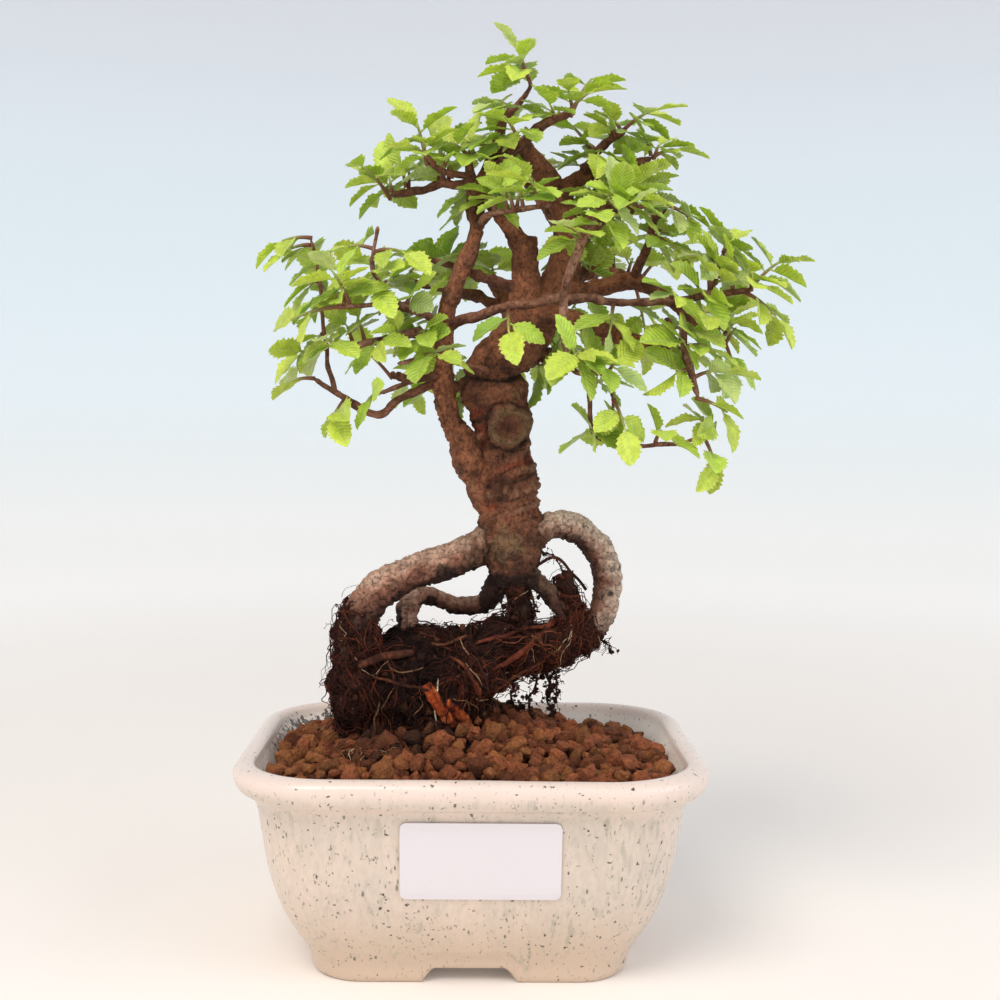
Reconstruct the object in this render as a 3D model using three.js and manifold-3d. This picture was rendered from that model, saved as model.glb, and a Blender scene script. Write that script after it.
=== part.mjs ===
// Chinese elm bonsai in a glazed oblong pot.
// Millimetres, +Z up. The front of the pot faces -Y and its long side runs along X.
// The tree is laid out round the middle of the pot's underside. The last step moves everything
// so that the origin lies under the middle of the whole object's bounding box.

import * as THREE from "three";
import { mergeVertices } from "three/addons/utils/BufferGeometryUtils.js";
import Module from "manifold-3d";

const wasm = await Module();
wasm.setup();

// Driving dimensions of the pot
const RIM_LENGTH = 150;
const RIM_DEPTH = 122;
const RIM_CORNER = 30.5;
const FOOT_INSET = 24.5;
const FOOT_CORNER = 16.7;
const DEPTH_TAPER = 0.82;
const POT_WALL = 5.8;
const CORNER_STEPS = 5;
const FOOT_WIDTH = 7;
const FOOT_HEIGHT = 4.4;
const NOTCH_TOP = 23;
const NOTCH_BOTTOM = 29.6;
const DRAIN_HOLE_RADIUS = 5.5;
const DRAIN_HOLE_SPACING = 48;
const FLOOR_TOP = 9;
const FLOOR_COVE = 7;

// Driving dimensions of the screens, the label and the soil
const SCREEN_SIZE = 19;
const SCREEN_THICKNESS = 1.2;
const SCREEN_HOLES = 3;
const SCREEN_BAR = 1.6;
const LABEL_WIDTH = 48.5;
const LABEL_BOTTOM = 30.5;
const LABEL_TOP = 54.9;
const LABEL_CENTRE = 3;
const LABEL_CORNER = 2;
const LABEL_THICKNESS = 0.5;
const SOIL_EDGE = 57.5;
const SOIL_MOUND = 17.5;
const GRANULE = 9.2;
const GRANULE_RELIEF = 3.2;

// Driving dimensions of the foliage
const LEAF_LENGTH = 12.4;
const LEAF_SPREAD = 5;
const LEAF_THICKNESS = 0.9;
const LEAF_TILT = 0.8;
const OUTWARD_LEAN = 0.55;
const UPWARD_LEAN = 0.75;
const PETIOLE_LENGTH = 0.14;
const PETIOLE_WIDTH = 0.8;
const STEM_RADIUS = 0.65;
const LEAST_LEAN = -0.35;
const MOST_LEAN = 0.75;
const LEAF_ATTEMPTS = 24;
const LEAF_SPACING = 2.5;
const TWIG_SPACING = 1.5;
const OWN_SPACING = 1;
const BASE_SPACING = 2;
const BASE_STEPS = 8;

// Touching pieces keep this gap
const GAP = 0.3;

// The outer wall: height above the table and inset from the rim's widest line
const OUTER_PROFILE = [
  [0, 25.8],
  [1.2, 24.6],
  [6, 23.6],
  [11.2, 21.4],
  [22, 16.6],
  [33, 13.1],
  [45, 10.3],
  [52.7, 8.4],
  [55.7, 7.2],
  [58, 5.2],
  [60, 2],
  [65, 0.2],
  [67, 1.6],
  [68, 4.5],
];

// The rolled lip's inner side: height and width of the lip there
const LIP_PROFILE = [
  [67.3, 7.4],
  [65, 8.5],
];

// Heights of the inner wall's rings, from the lip down to the floor
const INNER_HEIGHTS = [58, 45, 15];

// Wood: each branch is a list of centre points with the radius there, as [x, y, z, radius]
const BRANCHES = {
  trunk: [
    [12, 2, 111, 5.5],
    [12, 1, 124, 9],
    [12.5, 0, 132, 10.4],
    [12.5, 0, 141, 9.4],
    [9, 0, 168, 9.3],
    [7.5, 0, 180, 10.3],
    [6.5, 0, 188, 10.6],
    [6.5, 0, 190.5, 9.2],
    [7.5, 0, 193, 9.6],
    [10, 1, 198, 8.8],
    [14.5, 2, 208, 7],
  ],
  left_limb: [
    [14, 2, 203, 7],
    [16, 1, 214, 5.6],
    [16, 0, 226, 4.6],
    [15.5, 0, 235, 4.2],
  ],
  left_limb_up: [
    [15.5, 0, 230, 3.4],
    [10, -3, 239, 3],
    [5, -5, 245, 2.6],
    [0, -6, 249, 2.3],
  ],
  right_limb: [
    [14, 3, 201, 6.6],
    [21, 6, 213, 6.3],
    [27, 8, 220, 5.7],
    [30, 10, 231, 5.3],
    [30, 10, 242, 4.7],
    [26, 8, 251.5, 4],
    [20.5, 6, 259, 3.6],
    [14.5, 4, 266, 2.8],
  ],
  crown: [
    [27, 8, 249, 3.4],
    [33.5, 9, 256, 3],
    [41, 10, 257.5, 2.5],
  ],
  upper_right: [
    [40, 10, 257, 2.2],
    [50, 8, 261, 1.6],
    [58, 6, 263, 1.1],
  ],
  crown_up: [
    [33, 9, 255, 2.2],
    [42, 4, 266, 1.5],
    [48, 0, 271, 1],
  ],
  front_arch: [
    [30, 9, 238, 2.6],
    [42, 2, 244, 2],
    [50, -8, 246, 1.6],
    [48, -17, 242, 1.6],
    [40, -24, 241, 1.6],
    [29, -27, 222, 1.6],
    [27, -26, 209, 1.4],
    [28, -28, 197, 1],
    [31, -29, 190, 0.9],
    [41, -29, 189, 0.8],
    [43, -28, 182, 0.7],
  ],
  long_right: [
    [-9, -7, 206, 2.3],
    [-2, -10, 208, 1.9],
    [17, -13, 212.5, 1.6],
    [31, -16, 214, 1.6],
    [49, -18, 212.5, 1.4],
    [68, -18, 214.5, 1.3],
    [87, -16, 217.5, 1],
  ],
  right_up: [
    [74, -17.5, 215.5, 1.2],
    [78, -12, 224, 0.9],
    [80, -9, 230, 0.7],
  ],
  limb_r1: [
    [19, 5, 209, 4.6],
    [26, 4, 215, 4],
    [38, 6, 218.5, 3.4],
    [52, 8, 222, 3],
    [62.5, 8, 218, 2.9],
    [72, 6, 211, 2.6],
    [83, 4, 202, 1.8],
  ],
  mid_right: [
    [51, 8, 221, 2.2],
    [56, 2, 231, 1.6],
    [58, -2, 240, 1.2],
    [62, -3, 245, 0.9],
  ],
  limb_r2: [
    [15, 2, 206, 5],
    [23, 0, 209.5, 4],
    [34, -3, 207.5, 3.1],
    [45, -6, 203.5, 2.8],
    [53.5, -7, 200.5, 2.5],
    [62, -8, 199, 1.9],
  ],
  r2_upright: [
    [61, -8, 199, 1.6],
    [62.5, -8, 204, 1.8],
    [62.5, -7, 209, 1.5],
  ],
  hang: [
    [44, -6, 203.5, 1.4],
    [38, -11, 194, 0.9],
    [37.5, -16, 172, 0.9],
    [44, -16, 168, 0.8],
    [63.5, -14, 167.5, 0.7],
    [76.5, -12, 171, 0.6],
  ],
  peg: [
    [44, -7, 203.5, 1.8],
    [42.5, -12, 199.5, 1.5],
    [43, -12, 194.5, 1],
  ],
  r_stub: [
    [67, -18, 214, 1.4],
    [65.5, -20, 205, 1.3],
    [66, -20, 197, 1.3],
    [68, -22, 190.5, 1.4],
    [70, -24, 183, 0.9],
  ],
  subtrunk: [
    [6, 1, 148, 4.5],
    [1, -1, 160.5, 5],
    [-4.5, -2, 168, 4.8],
    [-8.5, -3, 179.5, 4.6],
    [-11, -4, 188, 4.3],
    [-9.5, -7, 211.5, 2.8],
    [-3, -6, 228, 2.6],
    [0, -6, 237, 2.5],
    [-1.5, -6, 249, 2.3],
    [-3, -6, 259, 1.5],
  ],
  l_a: [
    [-10, -6, 201, 2.2],
    [-18, -12, 202.5, 1.8],
    [-26, -15, 201, 1.6],
    [-42.5, -18, 196.5, 1.3],
  ],
  l_b: [
    [-11, -4, 188.5, 2.2],
    [-19, -8, 184, 1.5],
    [-26, -10, 180, 1.3],
    [-32.5, -12, 176, 1.4],
    [-46, -12, 183.5, 1.1],
    [-52, -12, 187, 0.9],
  ],
  l_b_up: [
    [-46, -12, 183.5, 1],
    [-48.5, -11, 196.5, 0.8],
    [-52, -8, 225, 0.6],
    [-54, -8, 232, 0.6],
  ],
  l_c: [
    [-9.5, -7, 205.5, 2],
    [-16.5, -14, 208, 1.5],
    [-24.5, -19, 210.5, 1.6],
    [-32, -22, 210.5, 1],
    [-42, -24, 209.5, 0.7],
  ],
  l_c_up: [
    [-25, -19, 210.5, 1.3],
    [-29.5, -21, 216, 0.9],
    [-33, -22, 222, 0.7],
    [-31.5, -22, 235, 0.6],
  ],
  l_d: [
    [-2, -5, 252.5, 1.8],
    [-12.5, 0, 251.5, 1.6],
    [-21, 3, 250.5, 1.6],
    [-29, 5, 249, 1.2],
  ],
  l_e: [
    [-2.5, -6, 254, 1.4],
    [-10.5, -9, 254.5, 1.1],
    [-16, -11, 257, 0.8],
  ],
  left_mid: [
    [15, 0, 219, 2.6],
    [6.5, -2, 220, 2],
    [-9, 4, 226, 1.3],
    [-20, 8, 229, 1],
  ],
  top_right: [
    [-1, -6, 248, 2.1],
    [6.5, -9, 257, 2.1],
    [21.5, -9, 270, 1.6],
    [29.5, -8, 274, 1.2],
  ],
  top_up: [
    [0, -6, 250, 2.3],
    [4.5, -4, 259.5, 2.2],
    [7, -3, 268, 2],
    [9, -2, 273.5, 1.5],
    [16.5, -3, 283, 0.8],
    [15.5, -3, 287, 0.7],
  ],
  low_left_front: [
    [6, -6, 190, 1.4],
    [1, -12, 191, 0.9],
    [-5, -14, 192, 0.7],
  ],
  front_centre: [
    [0, -6, 238, 2],
    [4.5, -16, 240, 1.2],
    [13, -22, 240.5, 1],
    [22, -25, 241.5, 0.8],
  ],
  front_left: [
    [-11, -4, 189, 1.6],
    [-20.5, -13, 187, 1],
    [-30.5, -18, 183, 0.7],
  ],
  front_left_upper: [
    [-10.5, -5, 197, 1.4],
    [-18, -15, 194, 0.9],
    [-25, -20, 192, 0.7],
  ],
  back_limb: [
    [13, 3, 199, 4.6],
    [12, 18, 212, 3.4],
    [7, 32, 222, 2.7],
    [2, 44, 230, 1.6],
  ],
  back_left: [
    [11, 20, 213, 2.4],
    [-8, 28, 220, 1.8],
    [-28, 32, 224, 1.2],
  ],
  back_right: [
    [21, 7, 214, 4],
    [32, 22, 224, 2.8],
    [46, 34, 228, 2],
    [58, 38, 226, 1.2],
  ],
  back_up: [
    [29, 10, 240, 3.4],
    [22, 24, 252, 2.4],
    [14, 32, 262, 1.4],
  ],
  low_back_right: [
    [14, 4, 196, 3.4],
    [30, 22, 198, 2.2],
    [46, 33, 196, 1.4],
  ],
  low_back_left: [
    [4, 4, 184, 3.2],
    [-12, 18, 187, 2.1],
    [-30, 28, 190, 1.3],
  ],
  upper_back_right: [
    [31, 11, 233, 3],
    [46, 20, 246, 1.8],
    [58, 26, 250, 1.1],
  ],
  root_left: [
    [9, 0, 133, 6.4],
    [-1.5, -3, 130.5, 5.7],
    [-10, -6, 127.5, 5.5],
    [-22, -9, 123.5, 5.3],
    [-31.5, -11, 118, 5.6],
    [-36.5, -11, 110.5, 5.9],
    [-38, -10, 101, 6.5],
    [-36.5, -8, 90, 6.8],
    [-32.5, -4, 68, 6.6],
    [-31, -3, 58, 5.6],
  ],
  root_right: [
    [16, 0, 135, 5.6],
    [27, 0, 140, 4.6],
    [35.5, 1, 138, 4.5],
    [42, 2, 131.5, 4.6],
    [45, 2, 123.5, 4.7],
    [45, 2, 116, 4.5],
    [43, 2, 109, 4.3],
    [38, 1, 103, 4.4],
    [20, 0, 96, 3.6],
  ],
  root_mid_left: [
    [11, 2, 127, 4.6],
    [7.5, 6, 118.5, 3.5],
    [3.5, 10, 112, 3.2],
    [-5.5, 14, 110.5, 2.9],
    [-13.5, 14, 113.5, 2.9],
    [-19.5, 8, 114.5, 3.1],
    [-22.5, 2, 109, 3.5],
    [-21, 0, 102.5, 3.5],
    [-18, 0, 92, 3],
  ],
  root_mid_right: [
    [14, 1, 129, 4],
    [20.5, -2, 122, 3],
    [26.5, -3, 116, 2.8],
    [33, -2, 107, 2.8],
  ],
};

// Roots and the trunk grow no leaves
const LEAFLESS = ["trunk", "root_left", "root_right", "root_mid_left", "root_mid_right", "peg"];

// Lumps on the trunk: the knuckle over the left root, the burl on the right and the root crown
const TRUNK_LUMPS = [
  [4, -4, 134, 6.2],
  [19, -2, 136, 6],
  [10, -3, 121, 7],
];

// The healed pruning scar is a low ring on the trunk's front
const SCAR_CENTRE = [10.5, -8.2, 175];
const SCAR_RADIUS = 4.6;
const SCAR_ROLL = 1.3;

// The root mass: lumps of fine roots and peat as [x, y, z, half length, half depth, half height]
const ROOT_LUMPS = [
  [-19, 1, 85, 25, 22, 20],
  [-24, 0, 70, 18, 18, 14],
  [-9, 2, 73, 15, 18, 13],
  [12, 1, 97, 22, 14, 9.5],
  [29, 0, 98, 11, 9, 8.5],
  [30, -1, 108, 4.5, 4, 6],
  [14, 3, 110, 5.5, 5, 7],
];

// Fine roots as [x, y, z, radius]: they run over the root mass or hang from it to the soil
const FINE_ROOTS = [
  [[-34, -18, 92, 1], [-24, -22, 94, 1.1], [-10, -22, 90, 1], [4, -17, 92, 1], [18, -12, 99, 1]],
  [[-42, -10, 84, 1], [-32, -19, 88, 1.2], [-20, -22, 86, 1.2], [-6, -21, 80, 1]],
  [[34, -8, 103, 1.1], [24, -12, 98, 1.3], [14, -14, 92, 1.3], [4, -17, 86, 1.2], [0, -18, 80, 1]],
  [[-30, -19, 78, 0.9], [-26, -21, 70, 1], [-22, -19, 63, 0.9]],
  [[-12, -22, 84, 0.9], [-9, -22, 74, 1], [-8, -19, 64, 0.9]],
  [[-2, -20, 84, 0.9], [4, -19, 76, 1], [8, -15, 66, 0.9]],
  [[22, 1, 92, 1.6], [20, 1, 84, 1.3], [17, 1, 76, 1.3], [18, 1, 66, 1.4]],
  [[16, -2, 90, 1.5], [13, -1, 82, 1.2], [17, 1, 75, 1.2]],
  [[38, 2, 118, 0.9], [33, 0, 124, 0.8], [27, -1, 129, 0.9], [20, -2, 126, 0.9]],
  [[14, 3, 116, 1.2], [17, 1, 108, 1.1], [22, 0, 102, 1.2]],
  [[-38, 10, 88, 1], [-26, 20, 90, 1.1], [-10, 22, 84, 1], [2, 16, 74, 1]],
  [[32, 8, 100, 1], [20, 13, 98, 1.1], [6, 17, 90, 1.1], [-8, 21, 78, 1]],
];

// Tips of the leafy shoots as [x, y, z, number of leaves]
const SHOOT_TIPS = [
  [12.5, -4, 295, 6],
  [37, 2, 287.5, 6],
  [-20, -8, 270, 5],
  [-21, -20, 260, 5],
  [-37, -6, 256, 5],
  [-63, -10, 231.5, 5],
  [-41, -19, 229, 5],
  [-58, -26, 205, 4],
  [-44, -31, 219, 4],
  [-60, -16, 186, 4],
  [-46, -18, 174, 5],
  [-34, -26, 180, 4],
  [-12, -26, 195, 5],
  [-23, -31, 226, 5],
  [10, -25, 203, 3],
  [16, -31, 249, 4],
  [29, -33, 234, 4],
  [51, -27, 244, 4],
  [65, 6, 266, 4],
  [72, -4, 240, 5],
  [56, -4, 276, 5],
  [35, -15, 279, 5],
  [64, -12, 230, 4],
  [98, -12, 227, 6],
  [95, -20, 209, 5],
  [82, -7, 234, 4],
  [87, 0, 190, 4],
  [78, -18, 159, 4],
  [46, -34, 173, 4],
  [59, -22, 172, 4],
  [80, -22, 178, 4],
  [42, -26, 204, 3],
  [39, -6, 262, 4],
  [2, 58, 238, 5],
  [-16, 48, 232, 4],
  [-42, 38, 231, 5],
  [-34, 20, 252, 4],
  [-30, 14, 232, 4],
  [2, 38, 272, 5],
  [-12, 10, 270, 4],
  [30, 22, 278, 4],
  [58, 24, 266, 4],
  [70, 40, 238, 5],
  [74, 24, 216, 4],
  [62, 44, 206, 4],
  [34, 46, 214, 4],
  [-42, 36, 200, 5],
  [-22, 40, 186, 4],
  [18, 46, 194, 4],
  [-50, 4, 216, 4],
  [8, -20, 270, 5],
];

// Middle of the crown, which the leaves face away from
const CROWN_CENTRE = new THREE.Vector3(14, 4, 212);

// The leaf's edge from base to point: distance along the rib and half width, in leaf lengths
const LEAF_EDGE = [
  [0.1, 0.11],
  [0.36, 0.31],
  [0.42, 0.245],
  [0.62, 0.28],
  [0.68, 0.2],
  [0.84, 0.15],
];
const LEAF_MIDDLE = 0.42;

// Turns a closed geometry into a solid
function solid(geometry) {
  geometry.deleteAttribute("normal");
  geometry.deleteAttribute("uv");
  const welded = mergeVertices(geometry, 1e-4);
  return new wasm.Manifold(
    new wasm.Mesh({
      numProp: 3,
      vertProperties: new Float32Array(welded.attributes.position.array),
      triVerts: new Uint32Array(welded.index.array),
    }),
  );
}

// Turns a solid back into a geometry
function geometryOf(body) {
  const mesh = body.getMesh();
  const geometry = new THREE.BufferGeometry();
  geometry.setAttribute("position", new THREE.BufferAttribute(new Float32Array(mesh.vertProperties), 3));
  geometry.setIndex(new THREE.BufferAttribute(new Uint32Array(mesh.triVerts), 1));
  geometry.computeVertexNormals();
  return geometry;
}

// Joins a list of solids in one
function joined(solids) {
  return solids.reduce((whole, next) => whole.add(next));
}

// Keeps the largest body of a solid that a cut has left in pieces
function largest(body) {
  return body.decompose().sort((one, other) => other.volume() - one.volume())[0];
}

// A solid between rings of points that have the same number of points each, closed at both ends
function loft(rings) {
  const count = rings[0].length;
  const positions = rings.flat().flatMap((point) => point.toArray());
  const faces = [];
  for (let ring = 0; ring + 1 < rings.length; ring += 1) {
    for (let step = 0; step < count; step += 1) {
      const here = ring * count + step;
      const beside = ring * count + ((step + 1) % count);
      faces.push(here, beside, beside + count, here, beside + count, here + count);
    }
  }
  const last = (rings.length - 1) * count;
  for (let step = 1; step + 1 < count; step += 1) {
    faces.push(0, step + 1, step, last, last + step, last + step + 1);
  }
  const geometry = new THREE.BufferGeometry();
  geometry.setAttribute("position", new THREE.BufferAttribute(new Float32Array(positions), 3));
  geometry.setIndex(faces);
  return solid(geometry);
}

// A tapered tube along centre points, its section carried along without twist
function tube(points, sides, grow = 0) {
  const centres = points.map((point) => new THREE.Vector3(point[0], point[1], point[2]));
  let across = new THREE.Vector3(1, 0.3, 0.2);
  const rings = centres.map((centre, index) => {
    const before = centres[Math.max(index - 1, 0)];
    const after = centres[Math.min(index + 1, centres.length - 1)];
    const along = after.clone().sub(before).normalize();
    across = across.clone().addScaledVector(along, -across.dot(along)).normalize();
    const other = along.clone().cross(across);
    const radius = points[index][3] + grow;
    return Array.from({ length: sides }, (unused, side) => {
      const turn = (side * 2 * Math.PI) / sides;
      return centre
        .clone()
        .addScaledVector(across, radius * Math.cos(turn))
        .addScaledVector(other, radius * Math.sin(turn));
    });
  });
  return loft(rings);
}

// A seeded random number between 0 and 1 at each call
function seeded(seed) {
  let state = seed;
  return () => {
    state = (state + 0x6d2b79f5) >>> 0;
    let mixed = state;
    mixed = Math.imul(mixed ^ (mixed >>> 15), mixed | 1);
    mixed ^= mixed + Math.imul(mixed ^ (mixed >>> 7), mixed | 61);
    return ((mixed ^ (mixed >>> 14)) >>> 0) / 4294967296;
  };
}

// Reads a value from a table of [height, value] rows, straight between rows
function tableValue(table, height) {
  const upper = table.findIndex((row) => row[0] >= height);
  const [highZ, highValue] = table[upper];
  const [lowZ, lowValue] = table[Math.max(upper - 1, 0)];
  return highZ === lowZ ? highValue : lowValue + ((highValue - lowValue) * (height - lowZ)) / (highZ - lowZ);
}

// A rounded rectangle ring of the pot: inset from the rim by the wall's taper and by an even wall
function potRing(height, taper, wall) {
  const halfLength = RIM_LENGTH / 2 - taper - wall;
  const halfDepth = RIM_DEPTH / 2 - taper * DEPTH_TAPER - wall;
  const corner = RIM_CORNER - ((RIM_CORNER - FOOT_CORNER) * taper) / FOOT_INSET - wall * 0.6;
  const ring = [];
  for (const [index, [signX, signY]] of [[1, 1], [-1, 1], [-1, -1], [1, -1]].entries()) {
    for (let step = 0; step <= CORNER_STEPS; step += 1) {
      const turn = ((index + step / CORNER_STEPS) * Math.PI) / 2;
      const x = signX * (halfLength - corner) + corner * Math.cos(turn);
      const y = signY * (halfDepth - corner) + corner * Math.sin(turn);
      ring.push(new THREE.Vector3(x, y, height));
    }
  }
  return ring;
}

// The outer wall's inset at a height
function outerInset(height) {
  return tableValue(OUTER_PROFILE, height);
}

// The pot: a lofted bowl with a rolled lip, a recess and notches between its feet and two holes
function pot() {
  const outer = OUTER_PROFILE.map(([height, inset]) => potRing(height, inset, 0));
  const lip = LIP_PROFILE.map(([height, width]) => potRing(height, 0, width));
  const inner = INNER_HEIGHTS.map((height) => potRing(height, outerInset(height), POT_WALL));
  const cove = potRing(FLOOR_TOP + 0.8, outerInset(FLOOR_TOP), POT_WALL + FLOOR_COVE / 2);
  const floor = potRing(FLOOR_TOP, outerInset(FLOOR_TOP), POT_WALL + FLOOR_COVE);
  const bowl = loft([...outer, ...lip, ...inner, cove, floor]);
  const recess = loft([-1, FOOT_HEIGHT].map((height) => potRing(height, OUTER_PROFILE[0][1], FOOT_WIDTH)));
  const holes = [-1, 1].map((side) => drainHole((side * DRAIN_HOLE_SPACING) / 2));
  return bowl.subtract(joined([recess, notch(0), notch(Math.PI / 2), ...holes]));
}

// A notch between two feet: a trapezoid prism right across the foot ring
function notch(turn) {
  const outline = new THREE.Shape();
  outline.moveTo(-NOTCH_BOTTOM / 2 - 1, -1);
  outline.lineTo(NOTCH_BOTTOM / 2 + 1, -1);
  outline.lineTo(NOTCH_TOP / 2 + 0.7, FOOT_HEIGHT - 0.8);
  outline.lineTo(NOTCH_TOP / 2 - 0.6, FOOT_HEIGHT);
  outline.lineTo(-NOTCH_TOP / 2 + 0.6, FOOT_HEIGHT);
  outline.lineTo(-NOTCH_TOP / 2 - 0.7, FOOT_HEIGHT - 0.8);
  const geometry = new THREE.ExtrudeGeometry(outline, { depth: RIM_LENGTH, bevelEnabled: false });
  geometry.translate(0, 0, -RIM_LENGTH / 2);
  geometry.rotateX(Math.PI / 2);
  geometry.rotateZ(turn);
  return solid(geometry);
}

// A drain hole through the pot's floor
function drainHole(x) {
  const geometry = new THREE.CylinderGeometry(DRAIN_HOLE_RADIUS, DRAIN_HOLE_RADIUS, 3 * FLOOR_TOP, 14);
  geometry.rotateX(Math.PI / 2);
  geometry.translate(x, 0, FLOOR_TOP);
  return solid(geometry);
}

// A box standing on a height, with its middle at x, y
function block(x, y, bottom, side, height) {
  const geometry = new THREE.BoxGeometry(side, side, height);
  geometry.translate(x, y, bottom + height / 2);
  return solid(geometry);
}

// A square plastic screen with square openings, flat on the pot's floor
function drainScreen(x) {
  const bottom = FLOOR_TOP + GAP;
  const pitch = SCREEN_SIZE / SCREEN_HOLES;
  const openings = [];
  for (let column = 0; column < SCREEN_HOLES; column += 1) {
    for (let row = 0; row < SCREEN_HOLES; row += 1) {
      const centreX = x + (column + 0.5) * pitch - SCREEN_SIZE / 2;
      const centreY = (row + 0.5) * pitch - SCREEN_SIZE / 2;
      openings.push(block(centreX, centreY, 0, pitch - SCREEN_BAR, 3 * FLOOR_TOP));
    }
  }
  return block(x, 0, bottom, SCREEN_SIZE, SCREEN_THICKNESS).subtract(joined(openings));
}

// The room that the soil leaves over a screen
function screenRoom(x) {
  return block(x, 0, 0, SCREEN_SIZE + 2 * GAP, FLOOR_TOP + SCREEN_THICKNESS + 2 * GAP);
}

// The blank label: a thin sheet with rounded corners that follows the front wall
function label() {
  const middle = (LABEL_BOTTOM + LABEL_TOP) / 2;
  const half = (LABEL_TOP - LABEL_BOTTOM) / 2;
  const heights = [LABEL_BOTTOM, LABEL_BOTTOM + 0.6, LABEL_BOTTOM + LABEL_CORNER, 33, 45, 52.7];
  heights.push(LABEL_TOP - LABEL_CORNER, LABEL_TOP - 0.6, LABEL_TOP);
  const rows = heights.map((height) => {
    const pastCorner = Math.max(Math.abs(height - middle) - (half - LABEL_CORNER), 0);
    const cut = LABEL_CORNER - Math.sqrt(Math.max(LABEL_CORNER ** 2 - pastCorner ** 2, 0));
    const reach = LABEL_WIDTH / 2 - cut * 0.8;
    const wall = -(RIM_DEPTH / 2 - outerInset(height) * DEPTH_TAPER) - GAP;
    return [
      new THREE.Vector3(LABEL_CENTRE - reach, wall, height),
      new THREE.Vector3(LABEL_CENTRE - reach, wall - LABEL_THICKNESS, height),
      new THREE.Vector3(LABEL_CENTRE + reach, wall - LABEL_THICKNESS, height),
      new THREE.Vector3(LABEL_CENTRE + reach, wall, height),
    ];
  });
  return loft(rows);
}

// The mound's height before its granules
function soilHeight(x, y) {
  return SOIL_EDGE + SOIL_MOUND * Math.exp(-(((x + 4) / 46) ** 2) - (y / 38) ** 2) - y * 0.03;
}

// The soil's top: a lattice of triangles whose every third point is a granule's crown
function granules() {
  const random = seeded(7);
  const spacing = GRANULE / Math.sqrt(3);
  const rowDepth = (spacing * Math.sqrt(3)) / 2;
  const columns = Math.ceil(RIM_LENGTH / spacing);
  const rows = Math.ceil(RIM_DEPTH / rowDepth);
  const positions = [];
  for (let row = 0; row <= rows; row += 1) {
    for (let column = 0; column <= columns; column += 1) {
      const shift = row % 2 === 0 ? 0 : 0.5;
      const steps = column - Math.floor(row / 2) - row;
      const crown = ((steps % 3) + 3) % 3 === 0;
      const x = (column + shift - columns / 2) * spacing + (random() - 0.5) * spacing * 0.5;
      const y = (row - rows / 2) * rowDepth + (random() - 0.5) * spacing * 0.5;
      const relief = crown ? GRANULE_RELIEF * (0.6 + 0.5 * random()) : GRANULE_RELIEF * 0.3 * random();
      positions.push(x, y, soilHeight(x, y) + relief);
    }
  }
  return closedSheet(positions, columns + 1, rows + 1);
}

// A solid block under a lattice of points given row by row
function closedSheet(positions, columns, rows) {
  const count = columns * rows;
  const bottom = positions.map((value, index) => (index % 3 === 2 ? 0 : value));
  const faces = [];
  for (let row = 0; row + 1 < rows; row += 1) {
    for (let column = 0; column + 1 < columns; column += 1) {
      const here = row * columns + column;
      const odd = row % 2 === 1;
      const [a, b, c, d] = [here, here + 1, here + columns, here + columns + 1];
      const halves = odd ? [[a, b, d], [a, d, c]] : [[a, b, c], [b, d, c]];
      for (const [one, two, three] of halves) {
        faces.push(one, two, three, count + one, count + three, count + two);
      }
    }
  }
  const edge = [];
  for (let column = 0; column < columns; column += 1) edge.push(column);
  for (let row = 1; row < rows; row += 1) edge.push(row * columns + columns - 1);
  for (let column = columns - 2; column >= 0; column -= 1) edge.push((rows - 1) * columns + column);
  for (let row = rows - 2; row > 0; row -= 1) edge.push(row * columns);
  edge.forEach((here, index) => {
    const next = edge[(index + 1) % edge.length];
    faces.push(here, count + here, count + next, here, count + next, next);
  });
  const geometry = new THREE.BufferGeometry();
  const values = new Float32Array([...positions, ...bottom]);
  geometry.setAttribute("position", new THREE.BufferAttribute(values, 3));
  geometry.setIndex(faces);
  return solid(geometry);
}

// The soil fills the pot up to its granules, with room for the screens and for what stands in it
function soil(standing) {
  const [brim, ...lower] = INNER_HEIGHTS;
  const filling = loft([
    potRing(FLOOR_TOP + GAP, outerInset(FLOOR_TOP), POT_WALL + FLOOR_COVE + GAP),
    ...[...lower.reverse(), brim].map((height) => potRing(height, outerInset(height), POT_WALL + GAP)),
    potRing(brim + 2 * SOIL_MOUND, outerInset(brim), POT_WALL + GAP),
  ]);
  const rooms = [-1, 1].map((side) => screenRoom((side * DRAIN_HOLE_SPACING) / 2));
  return largest(filling.intersect(granules()).subtract(joined([...rooms, ...standing])));
}

// Number of sides of a branch's tube, from its thickness
function sidesFor(points) {
  const thickest = Math.max(...points.map((point) => point[3]));
  return [
    [8, 10],
    [5.5, 8],
    [4.4, 7],
    [3.3, 6],
    [2.3, 5],
    [0, 4],
  ].find((row) => thickest > row[0])[1];
}

// A sphere with few faces, scaled to an ellipsoid, its points pushed in and out by a seeded draw
function lump([x, y, z, halfLength, halfDepth, halfHeight], columns, rows, roughness, seed) {
  const random = seeded(seed);
  const geometry = new THREE.SphereGeometry(1, columns, rows);
  geometry.rotateX(Math.PI / 2);
  geometry.deleteAttribute("normal");
  geometry.deleteAttribute("uv");
  const welded = mergeVertices(geometry, 1e-4);
  const points = welded.attributes.position;
  for (let index = 0; index < points.count; index += 1) {
    const push = 1 + roughness * (random() - 0.5);
    points.setXYZ(
      index,
      x + points.getX(index) * halfLength * push,
      y + points.getY(index) * halfDepth * push,
      z + points.getZ(index) * halfHeight * push,
    );
  }
  return solid(welded);
}

// The healed scar: a ring that lies on the trunk's front, leaning as the trunk does
function scar(grow) {
  const geometry = new THREE.TorusGeometry(SCAR_RADIUS, SCAR_ROLL + grow, 4, 9);
  geometry.rotateX(Math.PI / 2);
  geometry.rotateY(-0.12);
  geometry.translate(...SCAR_CENTRE);
  return solid(geometry);
}

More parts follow.
